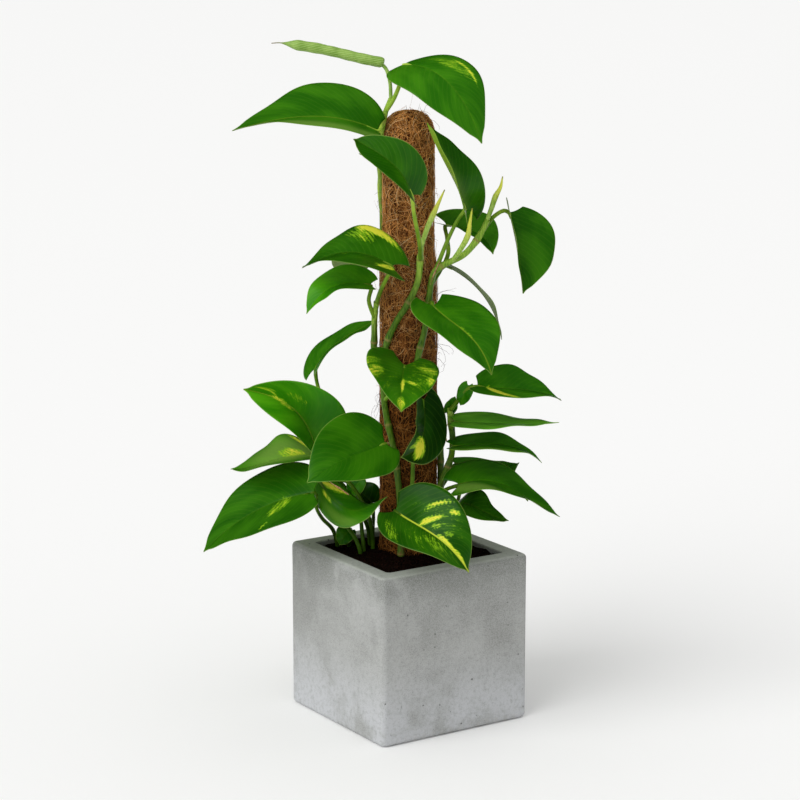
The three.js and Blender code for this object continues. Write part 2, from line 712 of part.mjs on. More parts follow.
function makeShoot(shoot) {
  const { foot, belly, tip } = SHOOT;
  const radiusAt = (t) =>
    t < 0.55 ? foot + (belly - foot) * (t / 0.55) : belly + (tip - belly) * ((t - 0.55) / 0.45);
  const body = sweep(route(shoot.path.map(vec)), 10, 6, radiusAt);
  return body.subtract(makeVine(VINES[shoot.grows], GAP));
}

// ---------- soil: fills the well, with a plain hole for each stem ----------

function makeSoil() {
  const { side, wall, floor, wellCorner } = PLANTER;
  const low = floor + GAP;
  const block = new THREE.ExtrudeGeometry(
    roundedSquare(side - 2 * wall - 2 * GAP, wellCorner - GAP),
    { depth: SOIL.top - low, curveSegments: 3, bevelEnabled: false },
  );
  block.translate(0, 0, low);
  const mound = new THREE.SphereGeometry(SOIL.mound, 12, 6);
  mound.scale(1, 1, SOIL.moundRise / SOIL.mound);
  mound.translate(0, 0, SOIL.top);
  let body = solid(block).add(solid(mound)).rotate([0, 0, -PLANT_TURN]);
  body = body.subtract(poleHole());
  for (const vine of Object.values(VINES)) body = body.subtract(makeVine(vine, GAP));
  for (const leaf of LEAVES) {
    if (!leaf.grows) body = body.subtract(makeStalk({ ...LEAF, ...leaf }, GAP));
  }
  return body;
}

// ---------- assembly ----------

const plant = new THREE.Group();
plant.rotation.z = rad(PLANT_TURN);
plant.add(named("soil", makeSoil(), finish(COLOURS.soil, 0.95)));
plant.add(named("coir_sleeve", makeSleeve(), finish(COLOURS.coir, 0.95)));
plant.add(named("pole_core", makeCore(), finish(COLOURS.wood, 0.7)));
for (const [name, vine] of Object.entries(VINES)) {
  plant.add(named(name, makeVine(vine), finish(COLOURS.stem, 0.5)));
}
plant.add(named("leaf_top_rolled", makeRolled(), finish(COLOURS.youngLeaf, 0.4)));
for (const leaf of LEAVES) {
  plant.add(named(leaf.name, makeLeaf({ ...LEAF, ...leaf }), finish(COLOURS.leaf, 0.4)));
}
for (const [name, shoot] of Object.entries(SHOOTS)) {
  plant.add(named(name, makeShoot(shoot), finish(COLOURS.youngLeaf, 0.45)));
}

const planted = new THREE.Group();
planted.add(named("planter", makePlanter(), finish(COLOURS.concrete, 0.85)));
planted.add(plant);

export default planted;
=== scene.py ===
import math

import bpy
import numpy as np
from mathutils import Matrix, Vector


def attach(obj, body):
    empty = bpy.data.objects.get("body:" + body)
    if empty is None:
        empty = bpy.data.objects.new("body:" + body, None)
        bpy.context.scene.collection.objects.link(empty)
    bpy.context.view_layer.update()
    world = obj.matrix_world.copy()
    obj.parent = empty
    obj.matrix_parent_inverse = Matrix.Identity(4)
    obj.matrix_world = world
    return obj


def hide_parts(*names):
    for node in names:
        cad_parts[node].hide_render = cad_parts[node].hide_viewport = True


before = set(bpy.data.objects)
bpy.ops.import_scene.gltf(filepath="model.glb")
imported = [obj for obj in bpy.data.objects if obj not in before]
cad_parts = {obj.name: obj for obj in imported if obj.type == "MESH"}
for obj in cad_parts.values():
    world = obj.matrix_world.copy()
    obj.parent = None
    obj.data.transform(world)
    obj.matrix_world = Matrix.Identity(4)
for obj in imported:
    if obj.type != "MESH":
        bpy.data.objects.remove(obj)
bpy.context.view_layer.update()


# ======== Planter ========
# One cube cast in fine concrete, 183 mm a side, with a square well inside a 19 mm wall. The
# mould leaves softly rounded edges, cloudy patches and a few pinholes where air was trapped.

PLANTER_HALF = 0.0915
PLANTER_TOP = 0.180
WELL_HALF = 0.0725
WELL_FLOOR = 0.018
CORNER = 0.0015
WELL_CORNER = 0.004
EDGE = 0.005
LIP = 0.001


def tint(code):
    """The linear colour of an sRGB hex code: each part below 0.04045 is divided by 12.92, and a
    higher one is ((part + 0.055) / 1.055) to the power 2.4."""
    parts = np.array([int(code[i : i + 2], 16) for i in (0, 2, 4)]) / 255
    linear = np.where(parts <= 0.04045, parts / 12.92, ((parts + 0.055) / 1.055) ** 2.4)
    return [*linear.tolist(), 1.0]


def feed(tree, made, inputs):
    """Fills a node's inputs, by number or name: an output is linked, a hex code is set as its
    linear colour, and anything else as it is."""
    for name, value in inputs.items():
        if isinstance(value, bpy.types.NodeSocket):
            tree.links.new(value, made.inputs[name])
        else:
            made.inputs[name].default_value = tint(value) if isinstance(value, str) else value


def node(tree, kind, inputs=None, **settings):
    """The outputs of a new shader node with its own settings and its inputs."""
    made = tree.nodes.new("ShaderNode" + kind)
    for name, value in settings.items():
        setattr(made, name, value)
    feed(tree, made, inputs or {})
    return made.outputs


def new_finish(name):
    """A material with its node tree and its Principled shader."""
    material = bpy.data.materials.new(name)
    material.use_nodes = True
    return material, material.node_tree, material.node_tree.nodes["Principled BSDF"]


def share_of(tree, *masks):
    """The product of masks. Each is an output as it is, or (output, low, high, end, start), eased
    by 3t² - 2t³ from start (0) to end (1) as the output goes from low to high."""
    product = None
    for mask in masks:
        if isinstance(mask, tuple):
            inputs = dict(zip((0, 1, 2, 4, 3), mask))
            mask = node(tree, "MapRange", inputs, interpolation_type="SMOOTHSTEP")[0]
        if product is None:
            product = mask
        else:
            product = node(tree, "Math", {0: product, 1: mask}, operation="MULTIPLY")[0]
    return product


def coated(tree, colour, *coats):
    """A colour under coats: each is a hex code or an output, and the masks that it shows by."""
    for coat, *masks in coats:
        inputs = {0: share_of(tree, *masks), 6: colour, 7: coat}
        colour = node(tree, "Mix", inputs, data_type="RGBA")[2]
    return colour


def lumps(places, size, seed):
    """Smooth random lumps from -1 to 1: random numbers on a lattice of cubes of this size, with
    3t² - 2t³ easing between the eight corners of each cube."""
    table = np.random.default_rng(seed).uniform(-1, 1, (32, 32, 32))
    cell = np.floor(places / size).astype(int)
    share = places / size - cell
    share = share * share * (3 - 2 * share)
    total = np.zeros(places.shape[:-1])
    for corner in np.ndindex(2, 2, 2):
        weight = np.where(corner, share, 1 - share).prod(axis=-1)
        lattice = (cell + corner) % 32
        total += weight * table[lattice[..., 0], lattice[..., 1], lattice[..., 2]]
    return total


def closed_skin(rings):
    """A closed skin over rings (ring, point, xyz): a four-sided face between each two neighbours
    and the next ring, and a fan to the middle of the first and of the last ring."""
    count, around = rings.shape[:2]
    places = np.concatenate([rings.reshape(-1, 3), rings[[0, -1]].mean(axis=1)])
    ring, turn = np.meshgrid(np.arange(count - 1) * around, np.arange(around), indexing="ij")
    after = (turn + 1) % around
    quads = np.stack([ring + turn, ring + after, ring + after + around, ring + turn + around], -1)
    turn, after = turn[0], after[0]
    last = (count - 1) * around
    foot = np.stack([after, turn, np.full(around, count * around)], -1)
    head = np.stack([last + turn, last + after, np.full(around, count * around + 1)], -1)
    return {"places": places, "quads": quads.reshape(-1, 4), "tris": np.concatenate([foot, head])}


def joined(parts):
    """Several skins as one: their places follow each other and their faces move up by that."""
    starts = np.cumsum([0] + [len(part["places"]) for part in parts])
    whole = {
        key: np.concatenate([part[key] for part in parts])
        for key in parts[0]
        if key not in ("quads", "tris")
    }
    for key, corners in (("quads", 4), ("tris", 3)):
        moved = [part[key] + start for part, start in zip(parts, starts) if key in part]
        whole[key] = np.concatenate(moved) if moved else np.zeros((0, corners), int)
    return whole


def make_piece(name, skin, material, stands_for=()):
    """A smooth mesh object from a skin, its other arrays kept as attributes of its points. It
    rides on the one body and stands for the solids that are named."""
    tris = skin.get("tris", np.zeros((0, 3), int))
    quads = skin.get("quads", np.zeros((0, 4), int))
    mesh = bpy.data.meshes.new(name)
    mesh.vertices.add(len(skin["places"]))
    mesh.vertices.foreach_set("co", skin["places"].astype(np.float32).ravel())
    mesh.loops.add(quads.size + tris.size)
    mesh.loops.foreach_set("vertex_index", np.concatenate([quads.ravel(), tris.ravel()]))
    mesh.polygons.add(len(quads) + len(tris))
    starts = [np.arange(len(quads)) * 4, quads.size + np.arange(len(tris)) * 3]
    mesh.polygons.foreach_set("loop_start", np.concatenate(starts))
    mesh.polygons.foreach_set("use_smooth", np.ones(len(quads) + len(tris), bool))
    mesh.update(calc_edges=True)
    for key, values in skin.items():
        if key in ("places", "quads", "tris"):
            continue
        kind, field = ("FLOAT", "value") if values.ndim == 1 else ("FLOAT_VECTOR", "vector")
        mark = mesh.attributes.new(key, kind, "POINT")
        mark.data.foreach_set(field, values.astype(np.float32).ravel())
    mesh.materials.append(material)
    made = bpy.data.objects.new(name, mesh)
    bpy.context.scene.collection.objects.link(made)
    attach(made, "root")
    if stands_for:
        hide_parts(*stands_for)
    return made


def rounded_square(half, corner, height, straight=26, bend=6):
    """Rings of rounded squares, one for each half width: on each side the point is (half - corner)
    times the corner's sign plus corner times the turned unit arrow, and the straights are even."""
    turns, signs = [], []
    corners = np.array([[1, 1], [-1, 1], [-1, -1], [1, -1]])
    run = np.linspace(0, 1, straight + 1)[1:-1, None]
    for quarter, (here, there) in enumerate(zip(corners, np.roll(corners, -1, axis=0))):
        arc = np.linspace(0, np.pi / 2, bend + 1) + quarter * np.pi / 2
        turns += [arc, np.full(straight - 1, arc[-1])]
        signs += [np.tile(here, (bend + 1, 1)), here * (1 - run) + there * run]
    turns, signs = np.concatenate(turns), np.concatenate(signs)
    arrows = np.stack([np.cos(turns), np.sin(turns)], -1)
    half, corner, height = (np.asarray(x, float)[:, None, None] for x in (half, corner, height))
    flat = (half - corner) * signs + corner * arrows
    return np.concatenate([flat, np.broadcast_to(height, flat.shape[:2] + (1,))], -1)


quarter = np.linspace(0, np.pi / 2, 9)
sine, cosine = np.sin(quarter), np.cos(quarter)
inner = PLANTER_HALF - EDGE
top = PLANTER_TOP
wall = np.linspace(EDGE, top - EDGE, 44)[1:-1]
# From the foot's middle over the outer wall, the rim and the lip down into the well:
# half width, corner radius and height of each ring.
planter_profile = np.concatenate([
    [[0.03, CORNER, 0], [0.06, CORNER, 0]],
    np.stack([inner + EDGE * sine, CORNER + EDGE * sine, EDGE - EDGE * cosine], -1),
    np.stack([np.full(42, PLANTER_HALF), np.full(42, CORNER + EDGE), wall], -1),
    np.stack([inner + EDGE * cosine, CORNER + EDGE * cosine, top - EDGE + EDGE * sine], -1),
    [[0.083, 0.0025, top], [0.078, WELL_CORNER, top]],
    np.stack(
        [WELL_HALF + LIP - LIP * sine, WELL_CORNER + LIP - LIP * sine, top - LIP + LIP * cosine], -1
    ),
    [[WELL_HALF, WELL_CORNER, z] for z in (0.172, 0.15, 0.08, 0.02)],
    [[WELL_HALF - 0.001, 0.003, WELL_FLOOR], [0.03, 0.003, WELL_FLOOR]],
])
planter_rings = rounded_square(*planter_profile.T)
# The cast faces are never quite flat: they dip by up to 0.3 mm in slow waves.
sunk = 0.00015 * (1 + 0.7 * lumps(planter_rings, 0.035, 3) + 0.3 * lumps(planter_rings, 0.009, 4))
outside = np.hypot(*planter_rings[..., :2].T).T.clip(0.01)
planter_rings[..., :2] -= planter_rings[..., :2] / outside[..., None] * sunk[..., None]

# Cast concrete, smooth from a plastic mould: matt, mid grey, clouded by uneven water in the mix,
# with sand grains just under the skin and pinholes up to 2 mm wide. The clouds are 60 mm across
# and the mottles 5 mm. The sand is drawn 1 mm coarse, twice its real size, so that it shows.
concrete, tree, skin = new_finish("cast_concrete")
space = node(tree, "TexCoord")["Object"]
height = node(tree, "SeparateXYZ", {0: space})[2]
cloud, mottle, sand = (
    node(tree, "TexNoise", {"Vector": space, **values})[0]
    for values in (
        {"Scale": 17, "Detail": 5, "Roughness": 0.62, "Distortion": 0.4},
        {"Scale": 210, "Detail": 4, "Roughness": 0.6},
        {"Scale": 900, "Detail": 3, "Roughness": 0.75},
    )
)
pores = node(tree, "TexVoronoi", {"Vector": space, "Scale": 150, "Randomness": 1.0})
pick = node(tree, "SeparateColor", {0: pores["Color"]})[0]
hole = share_of(tree, (pores["Distance"], 0.2, 0.08), (pick, 0.72, 0.76), (mottle, 0.5, 0.56))
# The coats: cloudy grey; painted light that brightens the foot; a darker band under the rim,
# partly a stain and partly painted shade; a lighter rim top; mottles; pale and dark sand; and the
# pinholes, darkened with painted shade.
body = coated(
    tree, "8b8c88", ("a1a29f", (cloud, 0.34, 0.68)),
    ("b6b8bb", (height, 0.1, 0.01), (cloud, 0.25, 0.55)),
    ("6e716a", (height, 0.135, 0.176, 0.8), (cloud, 0.72, 0.45)),
    ("b2b6ae", (height, 0.1775, 0.1795, 0.8)),
    ("80827e", (mottle, 0.45, 0.7, 0.42)),
    ("c6c8c8", (sand, 0.35, 0.65, 0.34)),
    ("6a6c68", (sand, 0.42, 0.28, 0.5)),
    ("4b4d4a", hole),
)
relief = node(tree, "Math", {0: sand, 1: 0.35, 2: mottle}, operation="MULTIPLY_ADD")[0]
relief = node(tree, "Math", {0: hole, 1: 2.2, 2: relief}, operation="MULTIPLY_ADD")[0]
sunken = node(tree, "Math", {0: relief, 1: -1.0}, operation="MULTIPLY")[0]
feed(tree, skin, {
    "Base Color": body,
    "Roughness": share_of(tree, (cloud, 0.3, 0.7, 0.74, 0.88)),
    "Normal": node(tree, "Bump", {"Strength": 0.3, "Distance": 0.0006, "Height": sunken})[0],
})

make_piece("cast_planter", closed_skin(planter_rings), concrete, ["planter"])


# ======== Potting soil ========
# Damp, dark potting mix of peat and composted bark. It fills the well to 4 mm under the rim and
# rises a little towards the pole; crumbs and bark chips lie loose on it.

SOIL_HALF = 0.0722
SOIL_CORNER = 0.0037
SOIL_FOOT = 0.0183
SOIL_TOP = 0.1765
MOUND_HALF = 0.062
MOUND_RISE = 0.005
CRUMBS = 1500


def soil_height(places):
    """Height of the soil at flat places: the top, plus the half-egg mound by the pole, plus three
    sizes of random lumps."""
    reach = np.hypot(places[..., 0], places[..., 1]) / MOUND_HALF
    mound = MOUND_RISE * np.sqrt(np.clip(1 - reach**2, 0, 1))
    flat = np.concatenate([places[..., :2], np.zeros(places.shape[:-1] + (1,))], -1)
    rough = 0.0016 * lumps(flat, 0.017, 11) + 0.0012 * lumps(flat, 0.006, 12)
    return SOIL_TOP + mound + rough + 0.0006 * lumps(flat, 0.0026, 13) - 0.0016


inward = np.linspace(1, 0.02, 62)
soil_profile = np.concatenate([
    [[0.03, 0.002, SOIL_FOOT], [SOIL_HALF, SOIL_CORNER, SOIL_FOOT], [SOIL_HALF, SOIL_CORNER, 0.1]],
    np.stack([SOIL_HALF * inward, SOIL_CORNER * inward, np.full(62, SOIL_TOP)], -1),
])
soil_rings = rounded_square(*soil_profile.T, straight=44)
soil_rings[3:, :, 2] = soil_height(soil_rings[3:])

# Twelve-cornered crumbs, pressed out of round and sunk half into the surface. One in ten is a
# bark chip, 1.7 times as large.
golden = (1 + 5**0.5) / 2
crumb = np.array(
    [[-1, golden, 0], [1, golden, 0], [-1, -golden, 0], [1, -golden, 0],
     [0, -1, golden], [0, 1, golden], [0, -1, -golden], [0, 1, -golden],
     [golden, 0, -1], [golden, 0, 1], [-golden, 0, -1], [-golden, 0, 1]]
) / 1.9
crumb_tris = np.array(
    [[0, 11, 5], [0, 5, 1], [0, 1, 7], [0, 7, 10], [0, 10, 11], [1, 5, 9], [5, 11, 4], [11, 10, 2],
     [10, 7, 6], [7, 1, 8], [3, 9, 4], [3, 4, 2], [3, 2, 6], [3, 6, 8], [3, 8, 9], [4, 9, 5],
     [2, 4, 11], [6, 2, 10], [8, 6, 7], [9, 8, 1]]
)
chance = np.random.default_rng(21)
spots = chance.uniform(-0.0695, 0.0695, (CRUMBS, 2))
spots = spots[np.hypot(*(np.abs(spots) - 0.062).clip(0).T) < 0.007]
crumbs = len(spots)
size = chance.uniform(0.0005, 0.0014, (crumbs, 1))
size *= np.where(chance.random((crumbs, 1)) < 0.1, 1.7, 1)
stretch = chance.uniform(0.55, 1.35, (crumbs, 1, 3)) * size[:, None]
uneven = chance.uniform(0.75, 1.2, (crumbs, 12, 1))
places = crumb * uneven * stretch
middle = np.concatenate([spots, soil_height(spots)[:, None] + 0.2 * size], -1)
places = (places + middle[:, None]).reshape(-1, 3)
tris = (crumb_tris + 12 * np.arange(crumbs)[:, None, None]).reshape(-1, 3)

# Damp peat and bark: near black with a red-brown cast, rough, a little wet shine on the crumbs.
# Part of the near black is painted shade, that which falls in the well under the leaves.
# The grain is drawn 2.4 mm coarse, the size of the crumbs, since that of real peat is too fine.
soil_mix, tree, skin = new_finish("damp_potting_mix")
space = node(tree, "TexCoord")["Object"]
grain = node(tree, "TexNoise", {"Vector": space, "Scale": 420, "Detail": 5, "Roughness": 0.7})[0]
patch = node(tree, "TexNoise", {"Vector": space, "Scale": 60, "Detail": 3})[0]
feed(tree, skin, {
    "Base Color": coated(
        tree, "0b0503", ("2a130c", (grain, 0.42, 0.72)), ("1e0a07", (patch, 0.5, 0.8, 0.5))
    ),
    "Roughness": share_of(tree, (grain, 0.3, 0.7, 0.62, 0.95)),
    "Normal": node(tree, "Bump", {"Strength": 0.6, "Distance": 0.001, "Height": grain})[0],
    "Specular IOR Level": 0.05,
})

soil_skin = joined([closed_skin(soil_rings), {"places": places, "tris": tris}])
make_piece("potting_mix", soil_skin, soil_mix, ["soil"])


# ======== Coir pole ========
# A wooden stake in a sleeve of coconut fibre, needled into a mat, wrapped round and closed over
# the top in a dome. It is a little stouter low down. Loose fibres stand off it everywhere.

TURN = math.radians(-33)
POLE_TOP = 642
DOME = 22
DOME_RUN = 40
SLEEVE_LOW = 29.5
SLEEVE_HIGH = 26.5
FIBRES = 5900
STRAYS = 130


def planted(places):
    """Places given in the plant's own frame in millimetres, turned by its -33 degrees into the
    pot's frame, in metres."""
    x, y = places[..., 0], places[..., 1]
    turned = [x * math.cos(TURN) - y * math.sin(TURN), x * math.sin(TURN) + y * math.cos(TURN)]
    return np.stack([*turned, places[..., 2]], -1) / 1000


def pole_radius(height):
    """The sleeve's radius in mm: stouter low down, eased by 3t² - 2t³ from 478 to 500 mm up."""
    share = np.clip((np.asarray(height, float) - 478) / 22, 0, 1)
    return SLEEVE_LOW - (SLEEVE_LOW - SLEEVE_HIGH) * share * share * (3 - 2 * share)


def pole_point(turn, run):
    """A point and outward arrow on the sleeve: run counts millimetres up the side to the dome,
    and then the dome from 0 to 90 degrees as 40 mm more."""
    angle = np.radians(np.clip((run - (POLE_TOP - DOME)) / DOME_RUN, 0, 1) * 90)
    out = np.where(angle > 0, SLEEVE_HIGH * np.cos(angle).clip(0) ** 0.8, pole_radius(run))
    high = np.where(angle > 0, POLE_TOP - DOME + DOME * np.sin(angle), run)
    place = np.stack([out * np.sin(turn), -out * np.cos(turn), high], -1)
    level = np.cos(angle)
    arrow = np.stack([level * np.sin(turn), -level * np.cos(turn), np.sin(angle)], -1)
    return place, arrow


run = np.concatenate(
    [np.linspace(19, 160, 12), np.linspace(163, 620, 300), np.linspace(622, 659.5, 26)]
)
turn = np.linspace(0, 2 * np.pi, 180, endpoint=False)
RUN, AROUND = np.meshgrid(run, turn, indexing="ij")
place, arrow = pole_point(AROUND, RUN)
hollow = 0.9 + 0.8 * lumps(place, 15, 31) + 0.5 * lumps(place, 5, 32) + 0.35 * lumps(place, 1.9, 33)
hollow = hollow.clip(0.1)
pole_rings = place - arrow * hollow[..., None]

# The fibres: each starts at a random place and wanders over the mat, mostly aslant, with its ends
# rising or sinking. A fibre is a three-sided tube of six rings.
chance = np.random.default_rng(41)
start_run = chance.uniform(166, 657, FIBRES)
start_turn = chance.uniform(0, 2 * np.pi, FIBRES)
heading = chance.normal(0, 0.75, FIBRES)
heading += np.where(chance.random(FIBRES) < 0.5, 0.6, -0.7)
heading += np.pi / 2
curl = chance.normal(0, 0.045, FIBRES)
length = chance.uniform(12, 42, FIBRES)
share = np.linspace(0, 1, 6)
step = share[None] * length[:, None]
way = heading[:, None] + curl[:, None] * step
run = start_run[:, None] + np.sin(way) * step
turn = start_turn[:, None] + np.cos(way) * step / 27
place, arrow = pole_point(turn, np.minimum(run, 659))
rise = chance.uniform(-0.4, 0.5, (FIBRES, 1))
rise = rise + 0.7 * np.sin(np.pi * share) * chance.random((FIBRES, 1))
loose = chance.random((FIBRES, 1)) < 0.05
rise = rise + np.where(loose, 5.5 * chance.random((FIBRES, 1)) * share**2, 0)
line = place + arrow * rise[..., None]


def thin_tubes(lines, radii, sides):
    """Closed tubes round many lines (line, point, xyz) at once: each point's ring is the radius
    times (cos, sin) across the line, on the two arrows square to its run there."""
    run = np.gradient(lines, axis=1)
    run /= np.linalg.norm(run, axis=-1, keepdims=True).clip(1e-9)
    aside = np.cross(run, lines[:, :1] * [1, 1, 0] + [0.1, 0.2, 0.05])
    aside /= np.linalg.norm(aside, axis=-1, keepdims=True).clip(1e-9)
    up = np.cross(run, aside)
    turn = np.arange(sides) * 2 * np.pi / sides
    spokes = aside[:, :, None] * np.cos(turn)[:, None] + up[:, :, None] * np.sin(turn)[:, None]
    rings = lines[:, :, None] + spokes * radii[..., None, None]
    count, long = lines.shape[:2]
    i, j = np.meshgrid(np.arange(long - 1), np.arange(sides), indexing="ij")
    k = (j + 1) % sides
    quads = np.stack([i * sides + j, i * sides + k, (i + 1) * sides + k, (i + 1) * sides + j], -1)
    quads = quads.reshape(1, -1, 4) + (np.arange(count) * long * sides)[:, None, None]
    # The two ends are closed by a fan from the ring's first point.
    fan = np.stack([np.zeros(sides - 2, int), np.arange(1, sides - 1), np.arange(2, sides)], -1)
    ends = np.concatenate([fan[:, ::-1], fan + (long - 1) * sides])
    ends = ends[None] + (np.arange(count) * long * sides)[:, None, None]
    return {
        "places": rings.reshape(-1, 3),
        "quads": quads.reshape(-1, 4),
        "tris": ends.reshape(-1, 3),
    }


thick = chance.uniform(0.11, 0.24, (FIBRES, 1)) * (1 - 0.5 * np.abs(2 * share - 1) ** 3)
mat_fibres = thin_tubes(line, thick, 3)
mat_fibres["fibre_tone"] = np.repeat(chance.random(FIBRES), 18)

# Longer strands that have sprung clear of the mat and curl: each goes straight out and sideways by
# a share of its length and bends up or down along an arc.
share = np.linspace(0, 1, 12)
start_run = chance.uniform(186, 655, STRAYS)
start_turn = chance.uniform(0, 2 * np.pi, STRAYS)
length = chance.uniform(5, 17, (STRAYS, 1))
place, arrow = pole_point(start_turn, start_run)
sideways = np.stack([np.cos(start_turn), np.sin(start_turn), np.zeros(STRAYS)], -1)
bend = chance.normal(0, 2.2, (STRAYS, 1))
out = length * (0.25 + 0.35 * chance.random((STRAYS, 1))) * np.sin(np.pi * 0.6 * share)
aside = length * 0.5 * np.sin(bend * share + chance.normal(0, 0.6, (STRAYS, 1)) * share)
rise = length * (1 - np.cos(bend * share)) / 2 * np.sign(chance.normal(0, 1, (STRAYS, 1)))
line = place[:, None] + arrow[:, None] * out[..., None] + sideways[:, None] * aside[..., None]
line[..., 2] += rise
thick = chance.uniform(0.1, 0.16, (STRAYS, 1)) * (1 - 0.6 * share)
stray_fibres = thin_tubes(line, thick, 3)
stray_fibres["fibre_tone"] = np.repeat(0.35 * chance.random(STRAYS), 36)

# Some that are seen singly: one long tuft on the left, hooks by the dome and curls on the right.
curls = [
    [[28, -5, 449], [32, -4, 453], [36, -4, 455], [40, -4, 456], [44, -4, 456], [48, -4, 455]],
    [[28, -3, 450], [31, -4, 453], [34, -4, 455], [38, -4, 456], [43, -4, 457], [50, -5, 459]],
    [[26, 0, 403], [34, -5, 397], [38, -5, 388], [39, -5, 382], [34, -5, 376], [40, -5, 379]],
    [[28, 0, 400], [42, 0, 397], [46, 0, 394], [47, 0, 391], [46, 0, 388], [45, 0, 390]],
    [[28, 0, 398], [31, 0, 396], [36, 0, 393], [40, 0, 391], [41, 0, 390], [43, 0, 388]],
    [[28, -2, 386], [33, -3, 383], [38, -4, 377], [36, -4, 371], [32, -4, 369], [29, -3, 371]],
    [[-26, 0, 346], [-30, 0, 341], [-32, 0, 336], [-34, 0, 331], [-36, 0, 325], [-35, 0, 321]],
    [[-26, 2, 342], [-31, 2, 346], [-33, 2, 340], [-33, 2, 336], [-32, 2, 332], [-31, 2, 329]],
    [[-26, -6, 338], [-29, -6, 333], [-31, -6, 330], [-33, -6, 324], [-35, -6, 320],
     [-38, -6, 318]],
    [[-25, 4, 335], [-29, 4, 342], [-31, 4, 345], [-33, 4, 344], [-35, 4, 341], [-34, 4, 337]],
    [[-25, 0, 350], [-29, 0, 346], [-30, 0, 342], [-31, 0, 335], [-34, 0, 329], [-38, 0, 326]],
    [[-25, 3, 330], [-30, 3, 334], [-35, 3, 333], [-38, 3, 328], [-39, 3, 322], [-37, 3, 317]],
    [[14, 0, 634], [15, 0, 638], [16, 0, 642], [17, 0, 645], [18, 0, 647], [20, 0, 648]],
    [[18, -3, 630], [22, -3, 633], [26, -3, 632], [30, -3, 628], [32, -3, 625], [31, -3, 622]],
    [[-24, 5, 558], [-28, 5, 557], [-30, 5, 557], [-32, 5, 557], [-34, 5, 556], [-35, 5, 555]],
    [[-25, 5, 552], [-30, 5, 550], [-32, 5, 548], [-31, 5, 545], [-31, 5, 544], [-33, 5, 542]],
]
thick = np.linspace(0.2, 0.09, 6) * np.ones((len(curls), 1))
curl_fibres = thin_tubes(np.array(curls, float), thick, 3)
curl_fibres["fibre_tone"] = np.full(len(curls) * 18, 0.1)
fibre_skin = joined([mat_fibres, stray_fibres, curl_fibres])
fibre_skin["places"] = planted(fibre_skin["places"])

# Coir: coconut husk fibre, dull red-brown with straw-coloured strands; the near-black gaps between
# them are painted shade. It has dried out and bleached above half height, and is damp and darker
# towards the soil, where the darkness is also painted shade cast by the leaves above.
# The mat's own strands are drawn 0.4 mm wide, about twice the real 0.2 mm, so that they show.
coir_mat, tree, skin = new_finish("needled_coir_mat")
space = node(tree, "TexCoord")["Object"]
weave = None
for tilt in (0.75, -0.6, 1.9):
    inputs = {0: space, "Rotation": (0, tilt, 0.5 * tilt), "Scale": (1, 1, 0.16)}
    turned = node(tree, "Mapping", inputs)[0]
    inputs = {"Vector": turned, "Scale": 900, "Detail": 3, "Roughness": 0.6}
    strand = node(tree, "TexNoise", inputs)[0]
    if weave is None:
        weave = strand
    else:
        weave = node(tree, "Math", {0: weave, 1: strand}, operation="MAXIMUM")[0]


def tufts_and_lit_dryness(tree, scale, detail):
    """The noise of the tufts, and how far the coir is drier and free of the painted shade low down:
    eased from 0 to 1 as its height in metres plus 0.12 times that noise goes from 0.38 to 0.56."""
    space = node(tree, "TexCoord")["Object"]
    tuft = node(tree, "TexNoise", {"Vector": space, "Scale": scale, "Detail": detail})[0]
    height = node(tree, "SeparateXYZ", {0: space})[2]
    dry_and_lit = node(tree, "Math", {0: tuft, 1: 0.12, 2: height}, operation="MULTIPLY_ADD")[0]
    return tuft, share_of(tree, (dry_and_lit, 0.38, 0.56))


tuft, dry_and_lit = tufts_and_lit_dryness(tree, 70, 4)
# The near-black base is painted shade between the strands; each coat turns lighter higher up, where
# the coir is drier and free of the painted shade that darkens its foot.
feed(tree, skin, {
    "Base Color": coated(
        tree, "1e0d03", ("2e1404", dry_and_lit),
        (coated(tree, "a1652a", ("f5ac62", dry_and_lit)), (weave, 0.54, 0.74)),
        (coated(tree, "42230c", ("8a4f1e", dry_and_lit)), (tuft, 0.45, 0.7, 0.5)),
    ),
    "Normal": node(tree, "Bump", {"Strength": 0.8, "Distance": 0.0012, "Height": weave})[0],
    "Roughness": 0.92,
    "Specular IOR Level": 0.05,
})

# A loose fibre is one dull colour along its length: brown, straw or, rarely, nearly white. Here
# and there a tuft about 20 mm across is darker.
coir_fibre, tree, skin = new_finish("loose_coir_fibre")
tone = node(tree, "Attribute", attribute_name="fibre_tone")["Fac"]
tuft, dry_and_lit = tufts_and_lit_dryness(tree, 45, 3)
# Each colour turns lighter higher up, where the fibres are drier and free of the painted shade that
# darkens them low down.
feed(tree, skin, {
    "Base Color": coated(
        tree, "321706", ("5a2c0c", dry_and_lit),
        (coated(tree, "a56a2e", ("f2ac60", dry_and_lit)), (tone, 0.05, 0.6)),
        (coated(tree, "b9854a", ("ffdda6", dry_and_lit)), (tone, 0.74, 1.0)),
        (coated(tree, "4e2c14", ("8a5226", dry_and_lit)), (tuft, 0.5, 0.75, 0.4)),
    ),
    "Roughness": 0.8,
    "Specular IOR Level": 0.05,
})

pole_skin = closed_skin(planted(pole_rings))
make_piece("coir_mat", pole_skin, coir_mat, ["coir_sleeve"])
make_piece("coir_loose_fibres", fibre_skin, coir_fibre)


# ======== Stake ========
# The softwood stake inside the coir, turned round and plain. It stands on the planter's floor and
# stiffens the sleeve, which hides all of it.

